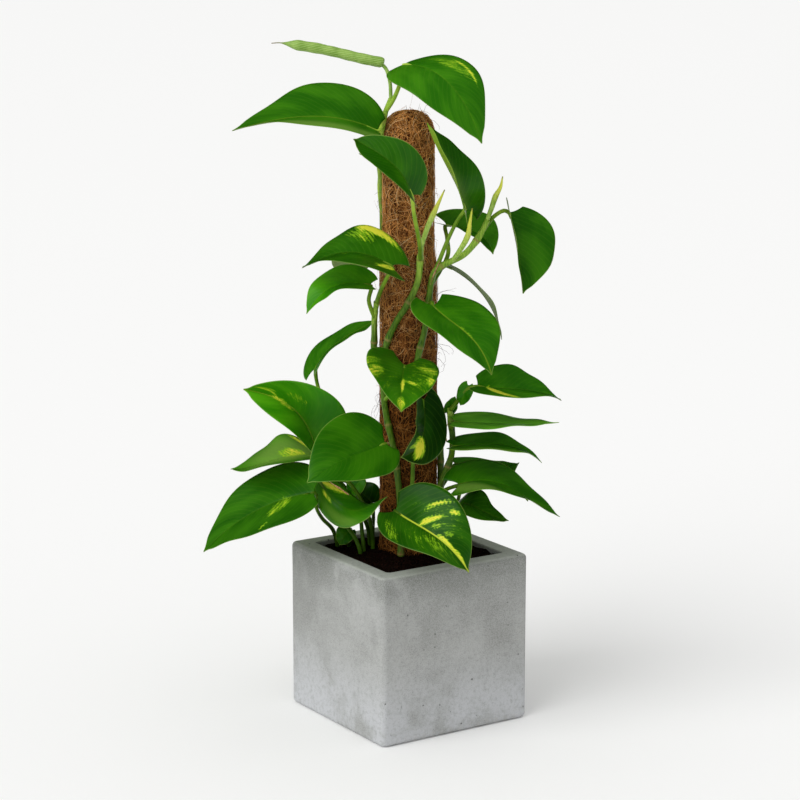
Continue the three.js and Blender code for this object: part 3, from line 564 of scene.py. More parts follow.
# Softwood: growth rings 2 mm apart, drawn out twenty times along the trunk.
stake_wood, tree, skin = new_finish("turned_softwood")
grown = node(tree, "Mapping", {0: node(tree, "TexCoord")["Object"], "Scale": (1, 1, 0.05)})[0]
rings = node(tree, "TexNoise", {"Vector": grown, "Scale": 500, "Detail": 3})[0]
colour = coated(tree, "a88050", ("c9a878", (rings, 0.35, 0.65)))
feed(tree, skin, {"Base Color": colour, "Roughness": 0.7})
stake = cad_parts["pole_core"]
stake.data.materials.clear()
stake.data.materials.append(stake_wood)


# ======== Vines ========
# The climbing stems, 7 mm thick, about as much as a pencil: green and fleshy, with a ring
# at each node, corky flecks low down, and short aerial roots that grip the coir.

VINE_RADIUS = 3.4
VINE_CLEAR = 0.7
NODE_GAP = 46


def beside(bearing, height, reach=None):
    """A place beside the pole: the reach times the sine and minus the cosine of its bearing; left
    out, the reach is the sleeve's radius and the vine's with 0.7 mm between."""
    reach = pole_radius(height) + VINE_RADIUS + VINE_CLEAR if reach is None else reach
    turn = math.radians(bearing)
    return [reach * math.sin(turn), -reach * math.cos(turn), height]


def smooth_path(points, count):
    """Evenly spaced places along a centripetal Catmull-Rom curve: knots are the square roots of
    the distances, each span is a cubic with the slopes of the quadratics through its neighbours."""
    points = np.array(points, float)
    ends = [2 * points[0] - points[1], 2 * points[-1] - points[-2]]
    leap = np.diff(np.concatenate([ends[:1], points, ends[1:]]), axis=0)
    gap = np.sqrt(np.linalg.norm(leap, axis=1))[:, None]
    rate, pair = leap / gap, (leap[:-1] + leap[1:]) / (gap[:-1] + gap[1:])
    slope_in = (rate[:-2] - pair[:-1] + rate[1:-1]) * gap[1:-1]
    slope_out = (rate[1:-1] - pair[1:] + rate[2:]) * gap[1:-1]
    t = np.linspace(0, 1, 24, endpoint=False)[None, :, None]
    a, b = points[:-1, None], points[1:, None]
    m, n = slope_in[:, None], slope_out[:, None]
    curve = (
        a * (1 - 3 * t**2 + 2 * t**3) + b * (3 * t**2 - 2 * t**3)
        + m * (t - 2 * t**2 + t**3) + n * (t**3 - t**2)
    )
    curve = np.concatenate([curve.reshape(-1, 3), points[-1:]])
    far = np.concatenate([[0], np.cumsum(np.linalg.norm(np.diff(curve, axis=0), axis=1))])
    even = np.linspace(0, far[-1], count)
    return np.stack([np.interp(even, far, curve[:, k]) for k in range(3)], -1), far[-1]


def stem_rings(path, radius, sides):
    """Rings round a path: the radius (point, side) times (cos, sin) on two arrows square to the
    path, the first of them square as well to the direction in which the path spreads least."""
    run = np.gradient(path, axis=0)
    run /= np.linalg.norm(run, axis=-1, keepdims=True)
    least = np.linalg.svd(path - path.mean(axis=0))[2][-1]
    aside = np.cross(least, run)
    aside /= np.linalg.norm(aside, axis=-1, keepdims=True)
    up = np.cross(run, aside)
    turn = np.arange(sides) * 2 * np.pi / sides
    spokes = aside[:, None] * np.cos(turn)[:, None] + up[:, None] * np.sin(turn)[:, None]
    return path[:, None] + spokes * np.broadcast_to(radius, (len(path), sides))[..., None]


# Each vine's path, its aerial roots (share of its length, side) and the millimetres of young
# growth at its tip.
VINES = {
    "vine_left": (
        [beside(-148, 130), beside(-150, 220), beside(-146, 300), beside(-134, 345),
         beside(-114, 369, 34.5), beside(-92, 386, 36), beside(-80, 408, 36), beside(-78, 428, 36),
         beside(-66, 446, 36)],
        [(0.6, -1)],
        40,
    ),
    "vine_crossing": (
        [beside(-15, 130), beside(-15, 230), beside(-26, 290), beside(-42, 325), beside(-50, 350),
         beside(-46, 398), beside(-24, 426), beside(0, 449), beside(16, 470), beside(20, 497, 35),
         [13, -37, 508]],
        [(0.44, -1)],
        60,
    ),
    "vine_right": (
        [beside(100, 130), beside(96, 220), beside(84, 300), beside(56, 338), beside(36, 360, 34.5),
         beside(16, 380), beside(30, 420), beside(38, 448), beside(40, 468, 36), [27, -35, 481],
         [35, -33, 487], [56, -28, 497], [67, -25, 508], [75, -22, 520], [81, -20, 532]],
        [(0.42, 1)],
        105,
    ),
    "vine_top": (
        [beside(170, 130), beside(176, 240), beside(-172, 360), beside(-150, 440),
         beside(-128, 482, 34), beside(-119, 520), beside(-116, 560), beside(-94, 600),
         beside(-66, 622), [-25, -12, 637], [-18, -3, 654]],
        [(0.3, 1)],
        170,
    ),
    "vine_low_right": (
        [beside(62, 130), beside(60, 200), [34, -19, 253], [40, -19, 269], [45, -18, 284],
         [46, -16, 303], [44, -15, 322], [43, -14, 334]],
        [(0.5, 1)],
        20,
    ),
}

# Living stem: a fleshy green skin with a satin, slightly waxy shine, a pale ring at each node and
# brown corky flecks on the oldest part. Its fine lines are drawn 1 mm apart, twice as wide as
# they are, so that they show.
vine_skin, tree, skin = new_finish("green_climbing_stem")
space = node(tree, "TexCoord")["Object"]
marks = node(tree, "Attribute", attribute_name="stem_marks")["Vector"]
node_ring, age, youth = node(tree, "SeparateXYZ", {0: marks})
along = node(tree, "Mapping", {0: space, "Scale": (1, 1, 0.12)})[0]
lines = node(tree, "TexNoise", {"Vector": along, "Scale": 900, "Detail": 3})[0]
patch = node(tree, "TexNoise", {"Vector": space, "Scale": 55, "Detail": 3})[0]
lighter = coated(tree, "587c1c", ("a9c94c", youth))
feed(tree, skin, {
    "Base Color": coated(
        tree, "2f5208", ("739f2e", youth), (lighter, (lines, 0.35, 0.68)),
        (lighter, (patch, 0.4, 0.75, 0.45)), ("5a431f", (lines, 0.5, 0.62), age),
        ("8f7a48", node_ring),
    ),
    "Normal": node(tree, "Bump", {"Strength": 0.25, "Distance": 0.0006, "Height": lines})[0],
    "Roughness": 0.4,
    "Specular IOR Level": 0.2,
})

chance = np.random.default_rng(51)
for name, (points, roots, fresh) in VINES.items():
    length = smooth_path(points, 2)[1]
    count = int(length / 1.6)
    path = smooth_path(points, count)[0]
    far = np.linspace(0, length, count)
    # At each node the stem swells by a sixth and has a fine sharp ring.
    phase = (far + 17) % NODE_GAP - NODE_GAP / 2
    swell = 0.16 * np.exp(-((phase / 6) ** 2)) + 0.07 * np.exp(-((phase / 1.3) ** 2))
    radius = VINE_RADIUS * (0.94 + swell) * np.where(far > 0.97 * length, 0.86, 1)
    turn = np.arange(14) * 2 * np.pi / 14
    ribs = 1 + 0.03 * np.cos(5 * turn + 0.7) + 0.02 * np.cos(2 * turn)
    rings = stem_rings(path, radius[:, None] * ribs, 14)
    stem = closed_skin(rings)
    ring_mark = np.exp(-((phase / 1.1) ** 2)) * 0.8
    age = np.clip((330 - path[:, 2]) / 180, 0, 0.9)
    young = np.clip((far - length + fresh) / (0.6 * fresh), 0, 1)
    flat = np.stack([ring_mark, age, young], -1)
    stem["stem_marks"] = np.concatenate([np.repeat(flat, 14, axis=0), flat[[0, -1]]])
    parts = [stem]
    for share, hand in roots:
        at = int(share * (count - 1))
        start, along = path[at], path[at + 1] - path[at - 1]
        away = start * [1, 1, 0] / np.linalg.norm(start[:2])
        aside = np.cross(along, away) * hand
        aside /= np.linalg.norm(aside)
        middle = start + 8.8 * aside + 1.4 * away
        end = start + 16 * aside + 3.4 * away - [0, 0, 4]
        root_path = smooth_path([start, middle, end], 16)[0]
        root_radius = 1.3 * (1 - 0.6 * np.linspace(0, 1, 16)) * (1 + 0.08 * chance.normal(0, 1, 16))
        rings = stem_rings(root_path, root_radius[:, None], 8)
        stub = closed_skin(rings)
        stub["stem_marks"] = np.tile([0.75, 0.9, 0], (len(stub["places"]), 1))
        parts.append(stub)
    whole = joined(parts)
    whole["places"] = planted(whole["places"])
    make_piece("climbing_" + name, whole, vine_skin, [name])


# ======== Withered sheaths ========
# Each leaf leaves a papery sheath behind on the stem at its node. A few have dried to thin curled
# strips that still cling along the stems, each a third of a millimetre thick.

# The points along each strip and half its width.
SHEATHS = [
    ([[22, -38.5, 468], [24, -39.5, 474], [27, -39.5, 481], [29.5, -39, 487], [32, -40, 493]], 1.9),
    ([[-84, -37, 262], [-77, -38, 257], [-69, -38, 252], [-62, -36, 246]], 2.6),
    ([[-26, -36.5, 487], [-24, -38, 481], [-24, -38.5, 474], [-26, -39, 468]], 1.5),
    ([[40, -22.5, 300], [38, -24, 307], [38.5, -25, 314], [41, -27, 320]], 1.6),
]

# Dried sheath: pinkish tan tissue like onion skin, streaked along its fibres.
sheath_skin, tree, skin = new_finish("withered_leaf_sheath")
along = node(tree, "Mapping", {0: node(tree, "TexCoord")["Object"], "Scale": (1, 1, 0.2)})[0]
lines = node(tree, "TexNoise", {"Vector": along, "Scale": 800, "Detail": 3})[0]
colour = coated(tree, "8a5a3c", ("cfa27c", (lines, 0.35, 0.65)))
feed(tree, skin, {"Base Color": colour, "Roughness": 0.7, "Specular IOR Level": 0.15})

strips = []
for points, half in SHEATHS:
    path = smooth_path(points, 24)[0]
    t = np.linspace(0, 1, 24)[:, None]
    turn = np.arange(16)[None] * 2 * np.pi / 16 + 0.8 * t
    broad = half * np.sin(np.pi * (0.04 + 0.94 * t)) ** 0.6 * (1 - 0.35 * t)
    thin = 0.17
    radius = broad * thin / np.hypot(thin * np.cos(turn), broad * np.sin(turn))
    strips.append(closed_skin(stem_rings(path, radius, 16)))
sheaths = joined(strips)
sheaths["places"] = planted(sheaths["places"])
make_piece("withered_sheaths", sheaths, sheath_skin)


# ======== Leaves ========
# Heart-shaped pothos leaves, each a thin, leathery, glossy blade that is folded along its rib
# and arched, on a grooved stalk with a slightly thicker knee where it meets the blade.

# In each row: base is where the stalk meets the blade, tip the drip tip, face the way the upper
# side looks. width, bow, skew, bend, fold, lean, twist, curl and lobe shape the blade. stalk has
# the points from the foot to the base. tone runs from dark to bright, set leaf by leaf, and holds
# painted light and shade as well as the leaf's own green; back runs from a grey-green underside to
# a lime one, the lime being painted light that shines through the blade. rib is how yellow the rib
# is and pleat the depth of the side veins in millimetres. splash has the yellow marks (u, v, half
# size across and along the side veins, strength) and pale the lighter areas in the same way, which
# are painted light on the lit parts of the blades.
LEAF = {"skew": 0, "bend": 0, "fold": 12, "lean": 0, "twist": 0, "curl": 0, "lobe": 1,
        "splash": [], "pale": [], "tone": 0.5, "back": 0, "rib": 0.03, "pleat": 0.14}
LEAVES = [
    {"name": "leaf_top_right", "base": [-5, 10, 688], "tip": [74, -53, 612],
     "face": [0.2, -0.65, 0.75], "width": 84, "bow": 31, "fold": 2, "curl": -4, "lobe": 0.2,
     "stalk": [[-24, -10, 641], [-15, -11, 655], [-8, -2, 672]], "tone": 0.46,
     "splash": [(0.3, -0.6, 0.2, 0.25, 0.42), (0.38, -0.78, 0.16, 0.06, 0.75)]},
    {"name": "leaf_top_left", "base": [-31, -44, 626], "tip": [-179, -51, 626],
     "face": [-0.05, -0.33, 0.95], "width": 95, "bow": 18, "skew": 0.2, "bend": -5, "fold": 8,
     "lean": 0.1, "twist": 23, "curl": 5, "lobe": 0.3, "stalk": [[-25, -12, 637], [-28, -28, 633]],
     "tone": 0.38, "rib": 0.15, "pale": [(0.45, -0.8, 0.5, 0.35, 0.5)]},
    {"name": "leaf_pole_top", "base": [3, -90, 566], "tip": [-56, -84, 622],
     "face": [0.42, -0.83, 0.37], "width": 52, "bow": 15, "skew": 0.4, "bend": 2, "fold": 27,
     "lean": -0.08, "twist": -34, "curl": 4, "lobe": 0.4,
     "stalk": [[12, -38, 494], [11, -54, 512], [5, -77, 546]], "tone": 0.28, "pleat": 0.45},
    {"name": "leaf_upright_folded", "base": [58, -29, 544], "tip": [18, -41, 635],
     "face": [0.62, -0.41, 0.67], "width": 60, "bow": 5, "skew": 0.75, "bend": -9, "fold": 30,
     "twist": 33, "lobe": 1.35, "stalk": [[27, -35, 481], [40, -30, 513], [50, -28, 533]],
     "tone": 0.24, "back": 1, "splash": [(0.39, -0.85, 0.03, 0.2, 0.6)],
     "pale": [(0.5, -1, 2, 0.9, 0.9)]},
    {"name": "leaf_small_behind", "base": [39, 25, 521], "tip": [87, -22, 496],
     "face": [0.08, -0.44, 0.9], "width": 47, "bow": 5.5, "skew": -0.7, "bend": -9, "fold": 22,
     "lean": -0.04, "twist": 12, "curl": 2.3, "lobe": 1.3,
     "stalk": [[37, -33, 488], [41, -14, 498], [40, 8, 510]], "tone": 0.42},
    {"name": "leaf_far_right", "base": [104, -5, 538], "tip": [116, -59, 461],
     "face": [0.75, -0.6, 0.28], "width": 76, "bow": 4, "bend": 2, "fold": 30, "lean": -0.1,
     "curl": 3, "lobe": 0.6, "stalk": [[76, -21, 521], [87, -13, 534], [98, -8, 540]],
     "tone": 0.31},
    {"name": "leaf_edge_on", "base": [38, -4, 483], "tip": [97, -14, 405],
     "face": [0.8, 0.12, 0.57], "width": 56, "bow": 13, "fold": 5, "lobe": 0.5,
     "stalk": [[23, -28, 466], [31, -16, 476]], "tone": 0.3},
    {"name": "leaf_right_middle", "base": [25, -53, 449], "tip": [83, -107, 386],
     "face": [0.3, -0.5, 0.8], "width": 83, "bow": 15, "skew": -0.7, "bend": 4, "fold": 10,
     "lean": -0.05, "lobe": 0.9, "stalk": [[20, -26, 444], [24, -42, 450]], "tone": 0.42,
     "rib": 0.25, "pleat": 0.45, "splash": [(0.5, -0.03, 0.16, 0.05, 0.45)]},
    {"name": "leaf_left_upper", "base": [-17, -65, 491], "tip": [-110, -26, 483],
     "face": [-0.1, -0.37, 0.92], "width": 72, "bow": 20, "skew": 0.35, "bend": -5, "fold": 15,
     "lean": 0.05, "twist": 6, "lobe": 0.8,
     "stalk": [[-33, -15, 445], [-29, -33, 460], [-22, -52, 478]], "tone": 0.28, "pleat": 0.35,
     "splash": [(0.2, 0.9, 0.14, 0.14, 0.95), (0.3, 0.65, 0.12, 0.25, 0.5),
                (0.03, -0.35, 0.07, 0.3, 0.72), (0.41, -0.15, 0.05, 0.1, 0.45)]},
    {"name": "leaf_left_under", "base": [-39, -28, 466], "tip": [-105, -39, 437],
     "face": [-0.08, -0.36, 0.93], "width": 48, "bow": 12.5, "bend": 7, "fold": 14, "twist": -2,
     "curl": 2, "lobe": 0.5, "stalk": [[-35, -8, 428], [-41, -18, 448]], "tone": 0.85},
    {"name": "leaf_left_curled", "base": [-98, 18, 369], "tip": [-33, 58, 415],
     "face": [-0.51, -0.15, 0.84], "width": 56, "bow": 5, "skew": 0.8, "bend": -7, "fold": 16,
     "twist": 24, "curl": -3, "lobe": 0.85,
     "stalk": [[-20, 30, 300], [-56, 22, 306], [-90, 16, 338]], "tone": 0.38, "rib": 0.12},
    {"name": "leaf_heart", "base": [-4, -59, 388], "tip": [-8, -158, 360],
     "face": [0.2, -0.36, 0.9], "width": 80, "bow": 3, "skew": -0.5, "bend": 2, "fold": 20,
     "lean": 0.07, "lobe": 1.2, "stalk": [[-24, -25, 345], [-16, -38, 358], [-8, -50, 374]],
     "tone": 0.42, "pleat": 0.35,
     "splash": [(0.3, -0.6, 0.5, 0.45, 0.32), (0.5, 0.5, 0.4, 0.5, 0.22),
                (0.42, 0.8, 0.1, 0.3, 0.62), (0.3, 0.9, 0.07, 0.3, 0.45),
                (0.5, -0.03, 0.16, 0.07, 0.8), (0.45, -0.3, 0.05, 0.22, 0.6),
                (0.2, -0.7, 0.1, 0.3, 0.55), (0.42, -0.85, 0.1, 0.16, 0.62),
                (0.86, 0.1, 0.13, 0.7, 0.62)]},
    {"name": "leaf_left_middle", "base": [-98, -23, 296], "tip": [-171, -52, 362],
     "face": [0.15, -0.9, 0.4], "width": 78, "bow": 19, "skew": -0.3, "bend": 12, "fold": 40,
     "twist": -29, "curl": 6,
     "stalk": [[-37, -1, 140], [-40, -4, 208], [-58, -12, 248], [-80, -24, 274]], "tone": 0.8,
     "rib": 0.25,
     "splash": [(0.78, 0.5, 0.05, 0.35, 0.55), (0.68, 0.02, 0.1, 0.14, 0.66),
                (0.56, -0.1, 0.1, 0.1, 0.6), (0.5, 0.4, 0.12, 0.14, 0.4)]},
    {"name": "leaf_dark_front", "base": [-24, -70, 309], "tip": [-103, -133, 282],
     "face": [-0.04, -0.82, 0.58], "width": 80, "bow": 9, "skew": -0.7, "fold": 8, "lean": 0.13,
     "twist": 16, "lobe": 0.6, "stalk": [[-13, -31, 279], [-16, -44, 284], [-21, -58, 297]],
     "tone": 0.35, "rib": 0},
    {"name": "leaf_cupped_front", "base": [15, -42, 348], "tip": [-9, -96, 300],
     "face": [0.86, -0.3, 0.4], "width": 55, "bow": 2, "skew": -0.4, "bend": -17.5, "fold": 17,
     "twist": -6, "curl": 1, "lobe": 0.85,
     "stalk": [[-8, -34, 216], [1, -40, 236], [4, -41, 262], [5, -41, 290], [12, -36, 328],
                [15, -36, 345]], "tone": 0.02,
     "splash": [(0.6, -0.1, 0.15, 0.6, 0.8), (0.55, 0.3, 0.06, 0.3, 0.5),
                (0.72, 0.4, 0.1, 0.3, 0.5)]},
    {"name": "leaf_front_variegated", "base": [-14, -86, 242], "tip": [61, -132, 188],
     "face": [0.12, -0.78, 0.6], "width": 80, "bow": 17, "skew": -0.8, "fold": 15, "lean": -0.14,
     "twist": -22, "lobe": 0.8, "stalk": [[-9, -34, 200], [-11, -50, 208], [-13, -70, 226]],
     "tone": 0.18, "rib": 1, "pleat": 0.35,
     "splash": [(0.45, -0.5, 0.35, 0.4, 0.27), (0.55, 0.4, 0.35, 0.6, 0.3),
                (0.36, -0.25, 0.035, 0.28, 0.85), (0.31, -0.65, 0.025, 0.3, 0.75),
                (0.46, -0.78, 0.03, 0.1, 0.85), (0.46, -0.22, 0.03, 0.12, 0.62),
                (0.6, -0.3, 0.03, 0.14, 0.6), (0.66, -0.08, 0.14, 0.08, 0.8),
                (0.85, -0.1, 0.12, 0.2, 0.75), (0.55, 0.35, 0.12, 0.3, 0.45),
                (0.15, 0.7, 0.1, 0.25, 0.42)]},
    {"name": "leaf_low_left", "base": [-98, -41, 250], "tip": [-216, -27, 181],
     "face": [-0.12, -0.43, 0.9], "width": 94, "bow": 9, "bend": 8, "fold": 8, "twist": 8,
     "curl": 2, "lobe": 0.4,
     "stalk": [[-73, 25, 140], [-76, 25, 177], [-80, 21, 193], [-91, 2, 211], [-97, -20, 230]],
     "tone": 0.3, "splash": [(0.25, -0.2, 0.08, 0.3, 0.5), (0.34, -0.78, 0.02, 0.12, 0.7)]},
    {"name": "leaf_left_pale", "base": [-91, 12, 274], "tip": [-189, 14, 262],
     "face": [0, -0.2, 0.98], "width": 72, "bow": 12, "skew": 0.8, "bend": -16, "fold": 13,
     "lean": 0.08,
     "stalk": [[-41, 9, 140], [-42, 8, 195], [-49, 4, 215], [-62, 5, 238], [-78, 9, 256]],
     "tone": 0.4, "splash": [(0.28, 0.1, 0.14, 0.3, 0.6), (0.1, 0.6, 0.05, 0.5, 0.7)],
     "pale": [(0.3, 0.1, 0.4, 0.8, 0.45)]},
    {"name": "leaf_low_curled", "base": [-95, -13, 257], "tip": [-21, -70, 253],
     "face": [0.07, -0.7, 0.71], "width": 38, "bow": -24.5, "skew": 0.6, "bend": 9.5, "fold": 1,
     "twist": -30, "curl": -9, "lobe": 0.5,
     "stalk": [[-49, -17, 140], [-52, -13, 184], [-66, -6, 206], [-84, -6, 228], [-95, -9, 246]],
     "tone": 0.4, "back": 0.4,
     "splash": [(0.1, -0.45, 0.05, 0.4, 0.9), (0.12, 0.2, 0.06, 0.14, 0.8)],
     "pale": [(0.32, 0.68, 0.16, 0.25, 0.35)]},
    {"name": "leaf_low_pale", "base": [-50, 2, 253], "tip": [-63, 1, 233],
     "face": [-0.2, -0.8, 0.5], "width": 20, "bow": 2, "fold": 10,
     "stalk": [[-43, -9, 140], [-48, -7, 190], [-51, -2, 224], [-52, 2, 243]], "tone": 0.5},
    {"name": "leaf_low_small", "base": [-62, 8, 197], "tip": [-73, 4, 181],
     "face": [-0.2, -0.8, 0.5], "width": 22, "bow": 3, "fold": 10,
     "stalk": [[-63, 26, 140], [-63, 24, 182], [-62, 17, 194]], "tone": 0.3},
    {"name": "leaf_low_dark", "base": [-38, 20, 223], "tip": [-60, 27, 241],
     "face": [0.1, -0.85, 0.45], "width": 34, "bow": 3, "fold": 8,
     "stalk": [[-36, 22, 140], [-38, 24, 180], [-37, 22, 212]], "tone": 0},
    {"name": "leaf_right_upper", "base": [71, -31, 361], "tip": [160, -13, 341],
     "face": [0.25, -0.25, 0.93], "width": 68, "bow": 10, "skew": -0.4, "bend": 10, "fold": 13,
     "lean": -0.08, "twist": -17, "lobe": 0.4,
     "stalk": [[44, -15, 332], [52, -22, 344], [60, -27, 356]],
     "sheath": {"base": [62, -28, 361], "tip": [54, -22, 338], "face": [-0.2, -0.9, 0.3],
                "width": 17, "bow": 2}, "tone": 0.46, "splash": [(0.2, 0.5, 0.05, 0.5, 0.85)]},
    {"name": "leaf_right_thin", "base": [48, -31, 323], "tip": [156, -52, 327],
     "face": [0, 0.03, 1], "width": 75, "bow": -3, "skew": -0.6, "bend": -4, "fold": 13,
     "twist": -12, "curl": -6, "lobe": 0.5, "stalk": [[44, -16, 312], [46, -23, 317]], "tone": 1,
     "back": 1, "pale": [(0.4, 0, 1, 2, 0.2)]},
    {"name": "leaf_right_third", "base": [47, -35, 298], "tip": [140, -26, 277],
     "face": [0.25, -0.05, 0.96], "width": 66, "bow": 12, "skew": -0.4, "bend": 2, "fold": 6,
     "lobe": 0.6, "stalk": [[44, -19, 281], [46, -26, 288]], "tone": 0.5, "back": 0.8,
     "pale": [(0.3, 0.9, 0.3, 0.2, 0.5)]},
    {"name": "leaf_right_low", "base": [52, -48, 260], "tip": [158, -52, 226],
     "face": [0.38, -0.08, 0.92], "width": 80, "bow": 12, "skew": 0.8, "bend": -4, "fold": 6,
     "lean": -0.05, "twist": -17, "curl": 2, "lobe": 0.7, "stalk": [[33, -19, 243], [40, -32, 251]],
     "tone": 0.37, "pale": [(0.12, 0.6, 0.14, 0.5, 0.5)]},
    {"name": "leaf_right_behind", "base": [50, 8, 269], "tip": [117, -6, 274],
     "face": [-0.15, -0.55, 0.82], "width": 44, "bow": -18, "skew": -0.35, "bend": -3, "fold": 4,
     "lean": 0.17, "twist": 41, "lobe": 0.8, "stalk": [[34, -19, 250], [42, -4, 258]],
     "tone": 0.45},
    {"name": "leaf_right_dark", "base": [48, -24, 231], "tip": [105, -47, 221],
     "face": [0.27, -0.6, 0.75], "width": 41, "bow": 19.5, "skew": 0.5, "bend": 12, "fold": 14,
     "twist": -8, "stalk": [[48, -22, 140], [48, -21, 190], [48, -21, 220]], "tone": 0.17},
    {"name": "leaf_right_small", "base": [42, -7, 328], "tip": [49, -7, 345],
     "face": [0.2, -0.9, 0.3], "width": 14, "bow": 1, "fold": 10,
     "stalk": [[44, -14, 320], [44, -10, 323]], "tone": 0.6},
    {"name": "leaf_back_top", "base": [-26, 54, 588], "tip": [-10, 128, 556],
     "face": [0, 0.35, 0.94], "width": 66, "bow": 8, "bend": 3,
     "stalk": [[-28, 15, 540], [-30, 28, 562], [-28, 42, 580]], "tone": 0.4,
     "splash": [(0.4, 0.5, 0.06, 0.3, 0.6)]},
    {"name": "leaf_back_upper", "base": [-36, 60, 482], "tip": [-56, 124, 446],
     "face": [-0.3, 0.35, 0.9], "width": 68, "bow": 9, "bend": -3,
     "stalk": [[-20, 28, 446], [-25, 40, 464], [-32, 53, 478]], "tone": 0.5,
     "splash": [(0.5, -0.3, 0.1, 0.2, 0.6)]},
    {"name": "leaf_back_middle", "base": [22, 64, 412], "tip": [68, 128, 362],
     "face": [0.3, 0.4, 0.87], "width": 70, "bow": 9, "bend": 3,
     "stalk": [[-6, 33, 372], [2, 44, 392], [14, 58, 406]], "tone": 0.35,
     "splash": [(0.3, 0.7, 0.08, 0.3, 0.65)]},
    {"name": "leaf_back_left", "base": [-56, 56, 286], "tip": [-118, 100, 254],
     "face": [-0.35, 0.3, 0.9], "width": 74, "bow": 10, "bend": -4,
     "stalk": [[0, 34, 250], [-12, 44, 272], [-38, 52, 288]], "tone": 0.45,
     "splash": [(0.6, 0.1, 0.2, 0.1, 0.6)]},
    {"name": "leaf_back_low_left", "base": [-66, 66, 236], "tip": [-160, 104, 196],
     "face": [-0.3, 0.2, 0.93], "width": 76, "bow": 10, "bend": 4,
     "stalk": [[-38, 44, 140], [-42, 48, 190], [-58, 60, 226]], "tone": 0.4,
     "splash": [(0.35, -0.5, 0.08, 0.3, 0.65)]},
    {"name": "leaf_back_low", "base": [0, 88, 222], "tip": [22, 170, 174],
     "face": [0.1, 0.45, 0.88], "width": 72, "bow": 10, "bend": -4,
     "stalk": [[4, 56, 140], [4, 60, 190], [1, 78, 214]], "tone": 0.5,
     "splash": [(0.5, 0.4, 0.1, 0.4, 0.55)]},
    {"name": "leaf_back_low_right", "base": [60, 46, 244], "tip": [132, 92, 206],
     "face": [0.3, 0.25, 0.92], "width": 70, "bow": 10, "bend": 3,
     "stalk": [[46, 22, 140], [48, 26, 190], [56, 38, 232]], "tone": 0.4,
     "splash": [(0.6, -0.4, 0.08, 0.3, 0.6)]},
]


def arrow_of(vectors):
    """The same directions at a length of one."""
    return vectors / np.linalg.norm(vectors, axis=-1, keepdims=True).clip(1e-9)


# The blade stops just short of its tip, and its rows and columns crowd towards its base and rib.
# Its side veins lie where u - VEIN_LEAN |v|^VEIN_BEND is constant, VEIN_GAP millimetres apart.
BLADE_END = 0.985
CROWD = 1.25
VEIN_LEAN = 0.24
VEIN_BEND = 1.3
VEIN_GAP = 6.2


def half_width(u):
    """The blade's outline as a share of its greatest half width: x to the power 0.42 times 1 - x
    to the power 1.12, over that at its widest, with x = (u + 0.012) / 1.012. Past u = 0.86 it is
    drawn in by up to a third, to a drip tip."""
    x = (u + 0.012) / 1.012
    widest = 0.42 / 1.54
    drawn = np.clip((u - 0.86) / 0.1, 0, 1)
    tip = 1 - 0.35 * drawn * drawn * (3 - 2 * drawn)
    return tip * x**0.42 * (1 - x) ** 1.12 / (widest**0.42 * (1 - widest) ** 1.12)


def rib_at(leaf, s):
    """The rib: the line from base to tip, lifted by the bow times 4s(1 - s) and moved along by
    the skew, and carried sideways by the bend; with its direction and the two arrows across."""
    base, tip = np.array(leaf["base"], float), np.array(leaf["tip"], float)
    chord = tip - base
    ahead = arrow_of(chord)
    side = arrow_of(np.cross(ahead, leaf["face"]))
    up = np.cross(side, ahead)
    s = np.asarray(s, float)[..., None]
    arch, slope = 4 * s * (1 - s), 4 * (1 - 2 * s)
    tilt = 1 + leaf["skew"] * (1 - 2 * s)
    point = base + chord * s + up * leaf["bow"] * arch * tilt + side * leaf["bend"] * arch
    along = chord + up * leaf["bow"] * (slope * tilt - 2 * leaf["skew"] * arch)
    return point, arrow_of(along + side * leaf["bend"] * slope), ahead, up


